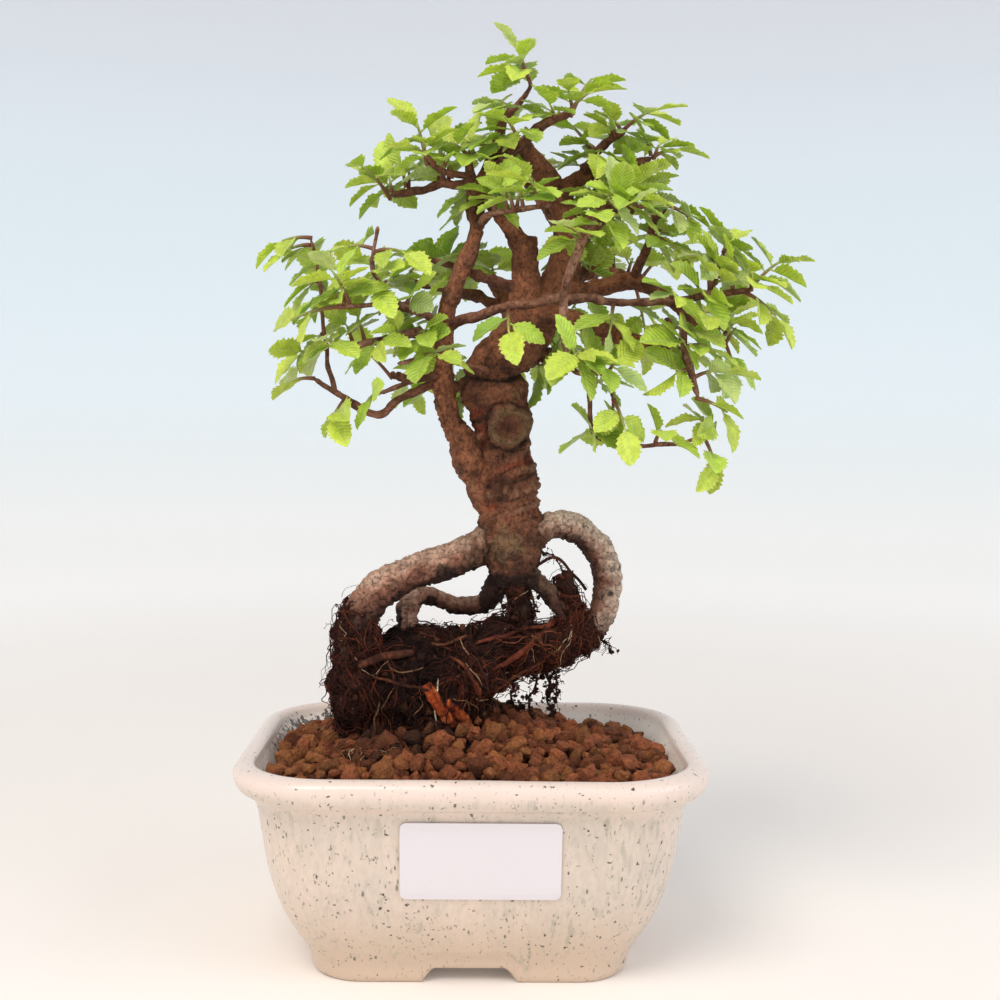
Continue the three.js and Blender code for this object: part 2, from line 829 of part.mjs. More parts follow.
// The wood: every branch and root, the trunk's lumps and the scar, grown as one
function wood(grow = 0) {
  const limbs = Object.values(BRANCHES).map((points) => tube(points, sidesFor(points), grow));
  const lumps = TRUNK_LUMPS.map(([x, y, z, radius], index) => {
    const reach = radius + grow;
    return lump([x, y, z, reach, reach, reach * 1.1], 8, 6, 0.12, 40 + index);
  });
  return joined([...limbs, ...lumps, scar(grow)]);
}

// The root mass: lumps with fine roots over them, cut clear of the wood that runs through it
function rootMass(grow = 0) {
  const lumps = ROOT_LUMPS.map(([x, y, z, ...halves], index) => {
    const [columns, rows] = halves[0] > 14 ? [11, 7] : [7, 5];
    return lump([x, y, z, ...halves.map((half) => half + grow)], columns, rows, 0.2, 60 + index);
  });
  const strands = FINE_ROOTS.map((points) => tube(points, 3, grow));
  return joined([...lumps, ...strands]);
}

// Branch segments that shoots grow from and that leaves keep clear of
const WOOD_SEGMENTS = Object.entries(BRANCHES).flatMap(([name, points]) =>
  points.slice(1).map((end, index) => ({
    leafless: LEAFLESS.includes(name),
    start: new THREE.Vector3(...points[index]),
    end: new THREE.Vector3(...end),
    startRadius: points[index][3],
    endRadius: end[3],
  })),
);

// Where on a segment a point is nearest: the share of its length, the distance and the radius
function nearestOn(segment, point) {
  const along = segment.end.clone().sub(segment.start);
  const share = Math.min(Math.max(point.clone().sub(segment.start).dot(along) / along.lengthSq(), 0), 1);
  const place = segment.start.clone().addScaledVector(along, share);
  const radius = segment.startRadius + (segment.endRadius - segment.startRadius) * share;
  return { place, distance: place.distanceTo(point), radius };
}

// The way that leaves face at a point: up and away from the middle of the crown
function outlook(point) {
  const facing = point.clone().sub(CROWN_CENTRE).normalize().multiplyScalar(OUTWARD_LEAN);
  facing.z += UPWARD_LEAN;
  return facing;
}

// Where a shoot starts: on the bark nearest its tip, or down that branch past shoots already there
function stemBase(tip, tree, bases) {
  const [nearest] = WOOD_SEGMENTS.filter((segment) => !segment.leafless)
    .map((segment) => ({ ...nearestOn(segment, tip), down: segment.start.clone().sub(segment.end) }))
    .sort((one, other) => one.distance - one.radius - other.distance + other.radius);
  const down = nearest.down.normalize();
  const reach = tip.clone().sub(nearest.place);
  const sideways = reach.clone().addScaledVector(down, -reach.dot(down)).setLength(4 * BASE_SPACING);
  const starts = [];
  for (let step = 0; step < BASE_STEPS; step += 1) {
    const aim = nearest.place.clone().addScaledVector(down, step);
    const eye = step === 0 ? tip : aim.clone().add(sideways);
    const [bark] = new THREE.Raycaster(eye, aim.sub(eye).normalize()).intersectObject(tree);
    if (bark) {
      const outward = tip.clone().sub(bark.point).normalize();
      const slant = outward.cross(bark.face.normal).length();
      const lift = GAP + stemRadius(0) * slant;
      starts.push(bark.point.clone().addScaledVector(bark.face.normal, lift));
    }
  }
  const isFree = (start) => bases.every((base) => base.distanceTo(start) > BASE_SPACING);
  return starts.find(isFree) ?? starts[0];
}

// The shoots' stems, each bowed up a little on its way to its tip
function stemCurves(tree) {
  const bases = [];
  return SHOOT_TIPS.map(([x, y, z]) => {
    const tip = new THREE.Vector3(x, y, z);
    const base = stemBase(tip, tree, bases);
    bases.push(base);
    const middle = base.clone().add(tip).multiplyScalar(0.5);
    middle.z += 0.12 * base.distanceTo(tip);
    return new THREE.QuadraticBezierCurve3(base, middle, tip);
  });
}

// The stem's radius at a share of its length
function stemRadius(share) {
  return STEM_RADIUS * (1.1 - 0.3 * share);
}

// The stem as straight segments, which other shoots' leaves keep clear of
function stemSegments(curve) {
  const points = curve.getPoints(4);
  return points.slice(1).map((end, index) => ({
    start: points[index],
    end,
    startRadius: stemRadius(index / 4),
    endRadius: stemRadius((index + 1) / 4),
  }));
}

// Draws one leaf: where it sits, which way it points and faces, its size, fold and droop
function drawLeaf(curve, order, count, random) {
  const share = Math.min(0.3 + (0.7 * (order + 0.75)) / (count - 0.25), 1);
  const hand = order % 2 === 0 ? 1 : -1;
  const place = curve.getPoint(share);
  const along = curve.getTangent(share);
  const tilt = new THREE.Vector3(random() - 0.5, random() - 0.5, random() - 0.5);
  const facing = outlook(place).addScaledVector(tilt, LEAF_TILT);
  const side = along.clone().cross(facing).normalize();
  const turn = random();
  const spread = share === 1 ? (turn - 0.5) * 0.5 : (0.85 + 0.45 * turn) * hand;
  const axis = along.clone().multiplyScalar(Math.cos(spread)).addScaledVector(side, Math.sin(spread));
  axis.z -= 0.05 + 0.4 * random();
  axis.normalize();
  const normal = facing.addScaledVector(axis, -facing.dot(axis)).normalize();
  const length = (LEAF_LENGTH + LEAF_SPREAD * (random() - 0.5)) * (1.05 - 0.2 * share);
  const fold = 0.15 + 0.3 * random();
  const curl = 0.04 + 0.14 * random();
  return { share, place, axis, normal, length, fold, curl, lean: axis.dot(along) };
}

// Whether a leaf stands well off its stem; a leaf at the stem's end carries the stem on
function isSpread(leaf) {
  return leaf.share === 1 || (leaf.lean > LEAST_LEAN && leaf.lean < MOST_LEAN);
}

// A point of the blade: along the rib, across it and above it, in millimetres
function bladePoint(leaf, along, across, above) {
  const side = leaf.normal.clone().cross(leaf.axis);
  const share = along / leaf.length;
  const height = above + leaf.fold * Math.abs(across) - leaf.curl * leaf.length * share * share;
  return leaf.place
    .clone()
    .addScaledVector(leaf.axis, along)
    .addScaledVector(side, across)
    .addScaledVector(leaf.normal, height);
}

// Points spread over a blade, which other leaves and twigs keep away from
function bladeSamples(leaf) {
  const samples = [[0.1, 0], [0.3, 0], [0.5, 0], [0.7, 0], [0.85, 0], [1, 0]];
  for (const side of [-1, 1]) {
    samples.push([0.22, 0.16 * side], [0.36, 0.28 * side], [0.5, 0.14 * side], [0.6, 0.25 * side]);
    samples.push([0.78, 0.13 * side]);
  }
  return samples.map(([along, across]) =>
    bladePoint(leaf, (PETIOLE_LENGTH + along) * leaf.length, across * leaf.length, 0),
  );
}

// Whether a blade keeps clear of the wood, of all stems and of the leaves placed so far
function isClear(samples, ownStem, stems, leaves) {
  const isNear = (segment, sample, spacing) => {
    const nearest = nearestOn(segment, sample);
    return nearest.distance < nearest.radius + spacing;
  };
  const nearTwig = (segment) => samples.some((sample) => isNear(segment, sample, TWIG_SPACING));
  const nearOwn = (segment) => samples.some((sample) => isNear(segment, sample, OWN_SPACING));
  const nearLeaf = (placed) =>
    placed[0].distanceTo(samples[0]) < 2.6 * LEAF_LENGTH &&
    placed.some((point) => samples.some((sample) => sample.distanceTo(point) < LEAF_SPACING));
  if (WOOD_SEGMENTS.some(nearTwig) || ownStem.some(nearOwn)) return false;
  return !stems.some(nearTwig) && !leaves.some(nearLeaf);
}

// The leaves of one shoot, each drawn again until it is clear, and left out if it never is
function drawLeaves(curve, count, random, ownStem, stems, placed) {
  const leaves = [];
  for (let order = 0; order < count; order += 1) {
    for (let attempt = 0; attempt < LEAF_ATTEMPTS; attempt += 1) {
      const leaf = drawLeaf(curve, order, count, random);
      const samples = bladeSamples(leaf);
      if (isSpread(leaf) && isClear(samples, ownStem, stems, placed)) {
        placed.push(samples);
        leaves.push(leaf);
        break;
      }
    }
  }
  return leaves;
}

// The place in a list with the highest score
function best(list, score) {
  return list.reduce((top, next, index) => (score(next) > score(list[top]) ? index : top), 0);
}

// One closed surface for a shoot: a three-sided stem whose sides open into toothed, folded leaves
function shootSolid(curve, leaves) {
  const up = outlook(curve.getPoint(0.5));
  const points = [];
  const faces = [];
  const add = (point) => points.push(point) - 1;
  const middle = (indices) => {
    const sum = indices.reduce((total, index) => total.add(points[index]), new THREE.Vector3());
    return sum.divideScalar(indices.length);
  };
  const ring = (share) => {
    const along = curve.getTangent(share);
    const across = up.clone().addScaledVector(along, -up.dot(along)).normalize();
    const other = along.clone().cross(across);
    return [0, 1, 2].map((corner) => {
      const turn = ((corner * 2 + 1) * Math.PI) / 3;
      const point = curve.getPoint(share).addScaledVector(across, stemRadius(share) * Math.cos(turn));
      return add(point.addScaledVector(other, stemRadius(share) * Math.sin(turn)));
    });
  };
  const bridge = (lower, upper, open) => {
    for (const side of [0, 1, 2].filter((index) => index !== open)) {
      const next = (side + 1) % 3;
      faces.push(lower[side], lower[next], upper[next], lower[side], upper[next], upper[side]);
    }
  };

  // The blade beyond its petiole: both edges, and the rib's crown above and below
  const blade = (leaf) => {
    const at = (along, across, above) =>
      add(bladePoint(leaf, (PETIOLE_LENGTH + along) * leaf.length, across * leaf.length, above));
    const tip = at(1, 0, 0);
    const [minus, plus] = [-1, 1].map((hand) => [
      ...LEAF_EDGE.map(([along, across]) => at(along, hand * across, 0)),
      tip,
    ]);
    const top = at(LEAF_MIDDLE, 0, LEAF_THICKNESS / 2);
    const under = at(LEAF_MIDDLE, 0, -LEAF_THICKNESS / 2);
    for (let index = 0; index + 1 < minus.length; index += 1) {
      faces.push(top, minus[index], minus[index + 1], top, plus[index + 1], plus[index]);
      faces.push(under, minus[index + 1], minus[index], under, plus[index], plus[index + 1]);
    }
    return { minus: minus[0], plus: plus[0], top, under };
  };

  // A side leaf's petiole: the opening's four edges meet the blade's four starts with least twist
  const sidePetiole = (leaf, corners) => {
    const side = leaf.normal.clone().cross(leaf.axis);
    const { minus, plus, top, under } = blade(leaf);
    const starts = [minus, under, plus, top];
    const ways = [side.clone().negate(), leaf.normal.clone().negate(), side, leaf.normal];
    const centre = middle(corners);
    const spokes = corners.map((corner, k) => middle([corner, corners[(k + 1) % 4]]).sub(centre));
    const fit = (shift) => spokes.reduce((sum, spoke, k) => sum + spoke.dot(ways[(k + shift) % 4]), 0);
    const shift = best([0, 1, 2, 3], fit);
    corners.forEach((corner, k) => {
      const next = corners[(k + 1) % 4];
      const start = starts[(k + shift) % 4];
      faces.push(corner, next, start, start, next, starts[(k + 1 + shift) % 4]);
    });
  };

  // The end leaf's petiole carries the stem's last ring on
  const endPetiole = (leaf, corners) => {
    const { minus, plus, top, under } = blade(leaf);
    const centre = middle(corners);
    const first = best(corners, (corner) => points[corner].clone().sub(centre).dot(leaf.normal));
    const [crown, left, right] = [0, 1, 2].map((k) => corners[(first + k) % 3]);
    faces.push(crown, left, top, right, crown, top, left, right, under);
    faces.push(top, left, minus, minus, left, under, right, top, plus, right, plus, under);
  };

  let last = ring(0);
  faces.push(last[0], last[2], last[1]);
  for (const leaf of leaves.filter((each) => each.share < 1)) {
    const reach = PETIOLE_WIDTH / 2 / curve.getLength();
    const lower = ring(leaf.share - reach);
    const upper = ring(leaf.share + reach);
    const centre = middle([...lower, ...upper]);
    const toSide = (k) => middle([lower[k], lower[(k + 1) % 3], upper[k], upper[(k + 1) % 3]]).sub(centre);
    const open = best([0, 1, 2], (k) => toSide(k).dot(leaf.axis));
    const next = (open + 1) % 3;
    bridge(last, lower);
    bridge(lower, upper, open);
    sidePetiole(leaf, [lower[open], lower[next], upper[next], upper[open]]);
    last = upper;
  }
  const end = ring(1);
  bridge(last, end);
  const endLeaf = leaves.find((each) => each.share === 1);
  if (endLeaf) {
    endPetiole(endLeaf, end);
  } else {
    faces.push(end[0], end[1], end[2]);
  }
  const geometry = new THREE.BufferGeometry().setFromPoints(points);
  geometry.setIndex(faces);
  return solid(geometry);
}

// All shoots: every stem first, then their leaves one by one
function shoots(tree) {
  const curves = stemCurves(tree);
  const stems = curves.map(stemSegments);
  const placed = [];
  return curves.map((curve, index) => {
    const others = stems.filter((stem, which) => which !== index).flat();
    const count = SHOOT_TIPS[index][3];
    const leaves = drawLeaves(curve, count, seeded(100 + index), stems[index], others, placed);
    return shootSolid(curve, leaves);
  });
}

// Finishes: glazed stoneware, plastic, paper, fired clay granules, peat with fine roots, bark, leaf
const FINISHES = {
  glaze: { color: 0xefdfd2, roughness: 0.35, metalness: 0 },
  screen: { color: 0x2c2f2e, roughness: 0.6, metalness: 0 },
  paper: { color: 0xf6eef0, roughness: 0.7, metalness: 0 },
  clay: { color: 0x7a482d, roughness: 0.95, metalness: 0 },
  peat: { color: 0x2e1c14, roughness: 0.95, metalness: 0 },
  bark: { color: 0x6b4a38, roughness: 0.85, metalness: 0 },
  leaf: { color: 0x8fc63f, roughness: 0.5, metalness: 0 },
};

// A named mesh with its finish
function mesh(name, body, finish) {
  const made = new THREE.Mesh(geometryOf(body), new THREE.MeshStandardMaterial(FINISHES[finish]));
  made.name = name;
  return made;
}

const woodRoom = wood(GAP);
const tree = mesh("wood", wood(), "bark");
const group = new THREE.Group();
group.add(mesh("pot", pot(), "glaze"));
group.add(mesh("drain_screen_left", drainScreen(-DRAIN_HOLE_SPACING / 2), "screen"));
group.add(mesh("drain_screen_right", drainScreen(DRAIN_HOLE_SPACING / 2), "screen"));
group.add(mesh("soil", soil([woodRoom, rootMass(GAP)]), "clay"));
group.add(mesh("root_mass", largest(rootMass().subtract(woodRoom)), "peat"));
group.add(tree);
group.add(mesh("label", label(), "paper"));
shoots(tree).forEach((body, index) => {
  group.add(mesh(`shoot_${String(index + 1).padStart(2, "0")}`, body, "leaf"));
});

// The whole object's middle goes over the origin
const box = new THREE.Box3().setFromObject(group);
group.position.set(-(box.min.x + box.max.x) / 2, -(box.min.y + box.max.y) / 2, 0);
group.updateMatrixWorld(true);

export default group;
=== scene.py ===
"""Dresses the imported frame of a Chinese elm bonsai: bark, leaves, roots, soil, glazed pot and label."""

from itertools import product

import bmesh
import bpy
import numpy as np
from mathutils import Matrix, Vector
from mathutils.bvhtree import BVHTree


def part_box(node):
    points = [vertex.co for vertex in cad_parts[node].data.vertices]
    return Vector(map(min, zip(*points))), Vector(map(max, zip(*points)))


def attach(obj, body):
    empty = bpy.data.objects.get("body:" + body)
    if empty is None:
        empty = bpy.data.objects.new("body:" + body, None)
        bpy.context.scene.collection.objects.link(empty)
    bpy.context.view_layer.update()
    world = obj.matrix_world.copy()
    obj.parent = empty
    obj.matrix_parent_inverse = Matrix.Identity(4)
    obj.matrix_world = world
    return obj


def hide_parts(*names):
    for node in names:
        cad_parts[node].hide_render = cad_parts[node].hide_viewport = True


bl_info = {
    "name": "Chinese elm bonsai",
    "version": (1, 0, 0),
    "blender": (4, 5, 0),
    "location": "3D View > Sidebar > Bonsai",
    "description": "Grows bark, leaves, roots and soil over the bonsai frame and glazes its pot",
    "category": "Object",
}

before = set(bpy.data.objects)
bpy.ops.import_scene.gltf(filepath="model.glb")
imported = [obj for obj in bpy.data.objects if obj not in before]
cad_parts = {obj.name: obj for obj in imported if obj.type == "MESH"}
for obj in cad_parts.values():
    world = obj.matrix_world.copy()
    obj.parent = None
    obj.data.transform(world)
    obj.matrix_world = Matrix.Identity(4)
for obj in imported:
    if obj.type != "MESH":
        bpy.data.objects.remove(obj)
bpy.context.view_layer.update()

# The tables below are in millimetres from the middle of the pot's base; SHIFT moves them to the frame
POT_LOW, POT_HIGH = (np.array(corner) * 1000 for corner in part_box("pot"))
SHIFT = np.array([(POT_LOW[0] + POT_HIGH[0]) / 2, (POT_LOW[1] + POT_HIGH[1]) / 2, 0.0])
MM = 0.001

# Pot: half sizes at the rim, corner radii at rim and foot, and [height, inset, wall] along its section
RIM_HALF = (75.0, 61.0)
CORNERS = (30.5, 16.7)
FOOT_INSET = 24.5
DEPTH_TAPER = 0.82
OUTER_PROFILE = [(0, 25.8), (1.2, 24.6), (6, 23.6), (11.2, 20.7), (16, 17.6), (22, 14.7),
    (33, 11.1), (45, 9), (52.7, 7.7), (55.7, 6.8), (58, 5.2), (60, 2), (65, 0.2), (67, 1.6), (68, 4.5)]
LIP_PROFILE = [(67.3, 0, 6.4), (65, 0, 7.2), (58, 5.2, 5.8), (45, 10.3, 5.8), (15, 19.7, 5.8),
    (9.8, 22, 9.3), (9, 22.4, 12.8)]
NOTCH = [(-15.6, 0), (-15, 0), (-12.2, 3.6), (-10.9, 4.4), (-4, 4.4), (4, 4.4), (10.9, 4.4), (12.2, 3.6),
    (15, 0), (15.6, 0)]
FOOT_HEIGHT = 4.4
DRAIN_HOLES = [(-24, 0), (24, 0)]
DRAIN_HOLE_RADIUS = 5.5
# Height where the section stops following the notches, and walls of the rings under a foot from the middle out
NOTCHED_BELOW = 11.2
FOOT_WALLS = (18.0, 7.6, 7.0, 6.6, 1.2, 0.35)
FLOOR_HEIGHT = 9.0
# Half sizes and corner radius of the pot's inner wall at the soil
INNER_WALL = (65.6, 52.5, 25.0)

# Label: middle, half width, bottom, top, corner radius, gap behind it and thickness
LABEL = (3, 24.25, 30.5, 54.9, 2, 0.3, 0.5)

# Soil: height at the wall, height of the mound, and its floor
SOIL_EDGE = 59.6
SOIL_MOUND = 15.6
SOIL_FLOOR = 9.3

# Branches and thick roots: [x, y, z, radius] from where each leaves its parent to its tip
BRANCHES = {
    "trunk": [(12, 2, 111, 5.5), (12, 1, 124, 9), (12.5, 0, 132, 10.4), (12.5, 0, 141, 9.4),
        (9, 0, 168, 9.3), (7.5, 0, 180, 10.3), (6.5, 0, 188, 10.6), (6.5, 0, 190.5, 9.2),
        (7.5, 0, 193, 9.6), (10, 1, 198, 8.8), (14.5, 2, 208, 7)],
    "left_limb": [(14, 2, 203, 7), (16, 1, 214, 5.6), (16, 0, 226, 4.6), (15.5, 0, 235, 4.2)],
    "left_limb_up": [(15.5, 0, 230, 3.4), (10, -3, 239, 3), (5, -5, 245, 2.6), (0, -6, 249, 2.3)],
    "right_limb": [(14, 3, 201, 6.6), (21, 6, 213, 6.3), (27, 8, 220, 5.7), (30, 10, 231, 5.3),
        (30, 10, 242, 4.7), (26, 8, 251.5, 4), (20.5, 6, 259, 3.6), (14.5, 4, 266, 2.8)],
    "crown": [(27, 8, 249, 3.4), (33.5, 9, 256, 3), (41, 10, 257.5, 2.5)],
    "upper_right": [(40, 10, 257, 2.2), (50, 8, 261, 1.6), (58, 6, 263, 1.1)],
    "crown_up": [(33, 9, 255, 2.2), (42, 4, 266, 1.5), (48, 0, 271, 1)],
    "front_arch": [(30, 9, 238, 2.6), (42, 2, 244, 2), (50, -8, 246, 1.6), (48, -17, 242, 1.6),
        (40, -24, 241, 1.6), (29, -27, 222, 1.6), (27, -26, 209, 1.4), (28, -28, 197, 1),
        (31, -29, 190, 0.9), (41, -29, 189, 0.8), (43, -28, 182, 0.7)],
    "long_right": [(-9, -7, 206, 2.3), (-2, -10, 208, 1.9), (17, -13, 212.5, 1.6), (31, -16, 214, 1.6),
        (49, -18, 212.5, 1.4), (68, -18, 214.5, 1.3), (87, -16, 217.5, 1)],
    "right_up": [(74, -17.5, 215.5, 1.2), (78, -12, 224, 0.9), (80, -9, 230, 0.7)],
    "limb_r1": [(19, 5, 209, 4.6), (26, 4, 215, 4), (38, 6, 218.5, 3.4), (52, 8, 222, 3),
        (62.5, 8, 218, 2.9), (72, 6, 211, 2.6), (83, 4, 202, 1.8)],
    "mid_right": [(51, 8, 221, 2.2), (56, 2, 231, 1.6), (58, -2, 240, 1.2), (62, -3, 245, 0.9)],
    "limb_r2": [(15, 2, 206, 5), (23, 0, 209.5, 4), (34, -3, 207.5, 3.1), (45, -6, 203.5, 2.8),
        (53.5, -7, 200.5, 2.5), (62, -8, 199, 1.9)],
    "r2_upright": [(61, -8, 199, 1.6), (62.5, -8, 204, 1.8), (62.5, -7, 209, 1.5)],
    "hang": [(44, -6, 203.5, 1.4), (38, -11, 194, 0.9), (37.5, -16, 172, 0.9), (44, -16, 168, 0.8),
        (63.5, -14, 167.5, 0.7), (76.5, -12, 171, 0.6)],
    "peg": [(44, -7, 203.5, 1.8), (42.5, -12, 199.5, 1.5), (43, -12, 194.5, 1)],
    "r_stub": [(67, -18, 214, 1.4), (65.5, -20, 205, 1.3), (66, -20, 197, 1.3), (68, -22, 190.5, 1.4),
        (70, -24, 183, 0.9)],
    "subtrunk": [(6, 1, 148, 4.5), (1, -1, 160.5, 5), (-4.5, -2, 168, 4.8), (-8.5, -3, 179.5, 4.6),
        (-11, -4, 188, 4.3), (-9.5, -7, 211.5, 2.8), (-3, -6, 228, 2.6), (0, -6, 237, 2.5),
        (-1.5, -6, 249, 2.3), (-3, -6, 259, 1.5)],
    "l_a": [(-10, -6, 201, 2.2), (-18, -12, 202.5, 1.8), (-26, -15, 201, 1.6), (-42.5, -18, 196.5, 1.3)],
    "l_b": [(-11, -4, 188.5, 2.2), (-19, -8, 184, 1.5), (-26, -10, 180, 1.3), (-32.5, -12, 176, 1.4),
        (-46, -12, 183.5, 1.1), (-52, -12, 187, 0.9)],
    "l_b_up": [(-46, -12, 183.5, 1), (-48.5, -11, 196.5, 0.8), (-52, -8, 225, 0.6), (-54, -8, 232, 0.6)],
    "l_c": [(-9.5, -7, 205.5, 2), (-16.5, -14, 208, 1.5), (-24.5, -19, 210.5, 1.6), (-32, -22, 210.5, 1),
        (-42, -24, 209.5, 0.7)],
    "l_c_up": [(-25, -19, 210.5, 1.3), (-29.5, -21, 216, 0.9), (-33, -22, 222, 0.7),
        (-31.5, -22, 235, 0.6)],
    "l_d": [(-2, -5, 252.5, 1.8), (-12.5, 0, 251.5, 1.6), (-21, 3, 250.5, 1.6), (-29, 5, 249, 1.2)],
    "l_e": [(-2.5, -6, 254, 1.4), (-10.5, -9, 254.5, 1.1), (-16, -11, 257, 0.8)],
    "left_mid": [(15, 0, 219, 2.6), (6.5, -2, 220, 2), (-9, 4, 226, 1.3), (-20, 8, 229, 1)],
    "top_right": [(-1, -6, 248, 2.1), (6.5, -9, 257, 2.1), (21.5, -9, 270, 1.6), (29.5, -8, 274, 1.2)],
    "top_up": [(0, -6, 250, 2.3), (4.5, -4, 259.5, 2.2), (7, -3, 268, 2), (9, -2, 273.5, 1.5),
        (16.5, -3, 283, 0.8), (15.5, -3, 287, 0.7)],
    "low_left_front": [(6, -6, 190, 1.4), (1, -12, 191, 0.9), (-5, -14, 192, 0.7)],
    "front_centre": [(0, -6, 238, 2), (4.5, -16, 240, 1.2), (13, -22, 240.5, 1), (22, -25, 241.5, 0.8)],
    "front_left": [(-11, -4, 189, 1.6), (-20.5, -13, 187, 1), (-30.5, -18, 183, 0.7)],
    "front_left_upper": [(-10.5, -5, 197, 1.4), (-18, -15, 194, 0.9), (-25, -20, 192, 0.7)],
    "back_limb": [(13, 3, 199, 4.6), (12, 18, 212, 3.4), (7, 32, 222, 2.7), (2, 44, 230, 1.6)],
    "back_left": [(11, 20, 213, 2.4), (-8, 28, 220, 1.8), (-28, 32, 224, 1.2)],
    "back_right": [(21, 7, 214, 4), (32, 22, 224, 2.8), (46, 34, 228, 2), (58, 38, 226, 1.2)],
    "back_up": [(29, 10, 240, 3.4), (22, 24, 252, 2.4), (14, 32, 262, 1.4)],
    "low_back_right": [(14, 4, 196, 3.4), (30, 22, 198, 2.2), (46, 33, 196, 1.4)],
    "low_back_left": [(4, 4, 184, 3.2), (-12, 18, 187, 2.1), (-30, 28, 190, 1.3)],
    "upper_back_right": [(31, 11, 233, 3), (46, 20, 246, 1.8), (58, 26, 250, 1.1)],
    "root_left": [(9, 0, 133, 6.4), (-1.5, -3, 130.5, 5.7), (-10, -6, 127.5, 5.5), (-22, -9, 123.5, 5.3),
        (-31.5, -11, 118, 5.6), (-36.5, -11, 110.5, 5.9), (-38, -10, 101, 6.5), (-36.5, -8, 90, 6.8),
        (-32.5, -4, 68, 6.6), (-31, -3, 58, 5.6)],
    "root_right": [(16, 0, 135, 5.6), (27, 0, 140, 4.6), (35.5, 1, 138, 4.5), (42, 2, 131.5, 4.6),
        (45, 2, 123.5, 4.7), (45, 2, 116, 4.5), (43, 2, 109, 4.3), (38, 1, 103, 4.4), (20, 0, 96, 3.6)],
    "root_mid_left": [(11, 2, 127, 4.6), (7.5, 6, 118.5, 3.5), (3.5, 10, 112, 3.2), (-5.5, 14, 110.5, 2.9),
        (-13.5, 14, 113.5, 2.9), (-19.5, 8, 114.5, 3.1), (-22.5, 2, 109, 3.5), (-21, 0, 102.5, 3.5),
        (-18, 0, 92, 3)],
    "root_mid_right": [(14, 1, 129, 4), (20.5, -2, 122, 3), (26.5, -3, 116, 2.8), (33, -2, 107, 2.8)],
}
# Tips of the frame's shoots: [x, y, z, number of leaves], and branches that bear no leaves
SHOOT_TIPS = [
    (12.5, -4, 295, 6), (37, 2, 287.5, 6), (-20, -8, 270, 5), (-21, -20, 260, 5), (-37, -6, 256, 5),
    (-63, -10, 231.5, 5), (-41, -19, 229, 5), (-58, -26, 205, 4), (-44, -31, 219, 4), (-60, -16, 186, 4),
    (-46, -18, 174, 5), (-34, -26, 180, 4), (-12, -26, 195, 5), (-23, -31, 226, 5), (10, -25, 203, 3),
    (16, -31, 249, 4), (29, -33, 234, 4), (51, -27, 244, 4), (65, 6, 266, 4), (72, -4, 240, 5),
    (56, -4, 276, 5), (35, -15, 279, 5), (64, -12, 230, 4), (98, -12, 227, 6), (95, -20, 209, 5),
    (82, -7, 234, 4), (87, 0, 190, 4), (78, -18, 159, 4), (46, -34, 173, 4), (59, -22, 172, 4),
    (80, -22, 178, 4), (42, -26, 204, 3), (39, -6, 262, 4), (2, 58, 238, 5), (-16, 48, 232, 4),
    (-42, 38, 231, 5), (-34, 20, 252, 4), (-30, 14, 232, 4), (2, 38, 272, 5), (-12, 10, 270, 4),
    (30, 22, 278, 4), (58, 24, 266, 4), (70, 40, 238, 5), (74, 24, 216, 4), (62, 44, 206, 4),
    (34, 46, 214, 4), (-42, 36, 200, 5), (-22, 40, 186, 4), (18, 46, 194, 4), (-50, 4, 216, 4),
    (8, -20, 270, 5),
]
# Fine roots at the back of the mass and beside the trunk: [x, y, z, radius] along each
BACK_ROOTS = [
    [(38, 2, 118, 0.9), (33, 0, 124, 0.8), (27, -1, 129, 0.9), (20, -2, 126, 0.9)],
    [(14, 3, 116, 1.2), (17, 1, 108, 1.1), (22, 0, 102, 1.2)],
    [(-38, 10, 88, 1), (-26, 20, 90, 1.1), (-10, 22, 84, 1), (2, 16, 74, 1)],
    [(32, 8, 100, 1), (20, 13, 98, 1.1), (6, 17, 90, 1.1), (-8, 21, 78, 1)],
]
LEAFLESS = ("trunk", "root_left", "root_right", "root_mid_left", "root_mid_right", "peg")

# Rows that the bark's skin follows: the trunk narrows to its foot and at the groove by the second trunk
SKIN_ROWS = {
    "trunk": [(17, 1, 106, 2.6), (15.5, 1, 115, 3.2), (13.4, 0.5, 121.5, 5.4), (12.4, 0, 126.5, 8.8),
        (12.5, 0, 132, 10.2), (12.5, 0, 140, 9.5), (12.4, 0, 148, 9.2), (11.3, 0, 156, 8.7),
        (9.9, 0, 165, 8.5), (8.9, 0, 172, 9.1), (6.7, 0, 181, 10.3), (6, 0, 187.4, 10.9),
        (6.4, 0, 189.6, 9.7), (7.6, 0.2, 193, 10), (11.2, 0.8, 197.5, 9), (15.4, 2, 202.5, 8.6),
        (19.3, 4, 208, 8.2), (21.5, 5.5, 214, 6.8)],
    "right_limb": [(15, 3, 200, 7.6), (21, 6, 212, 7.4), (27, 8, 220, 6.4), (30, 10, 231, 5.6),
        (30, 10, 242, 4.9), (26, 8, 251.5, 4.1), (20.5, 6, 259, 3.6), (14.5, 4, 266, 2.8)],
    "subtrunk": [(6, 1, 143, 3.4), (4, 0.3, 148.5, 4.1), (0.8, -0.8, 154.8, 4.4), (-1.6, -1.6, 160, 5),
        (-3.2, -2, 166, 4.7), (-6.8, -2.6, 172.2, 3.9), (-10.1, -3.4, 181, 3.5), (-11.2, -4, 187.8, 4),
        (-10.8, -5, 194, 3.4), (-9.5, -7, 211.5, 2.8), (-3, -6, 228, 2.6), (0, -6, 237, 2.5)],
}
# Lumps grown together with the trunk, at the roots' shoulders and over the crease: [x, y, z, radius]
SKIN_LUMPS = [(4, -4, 134, 5.8), (19, -2, 136, 5.6), (11, -3.5, 126, 5.2), (17, 3, 128, 5),
    (6, -2.5, 140, 5), (1.3, -1.5, 192.6, 4.8)]
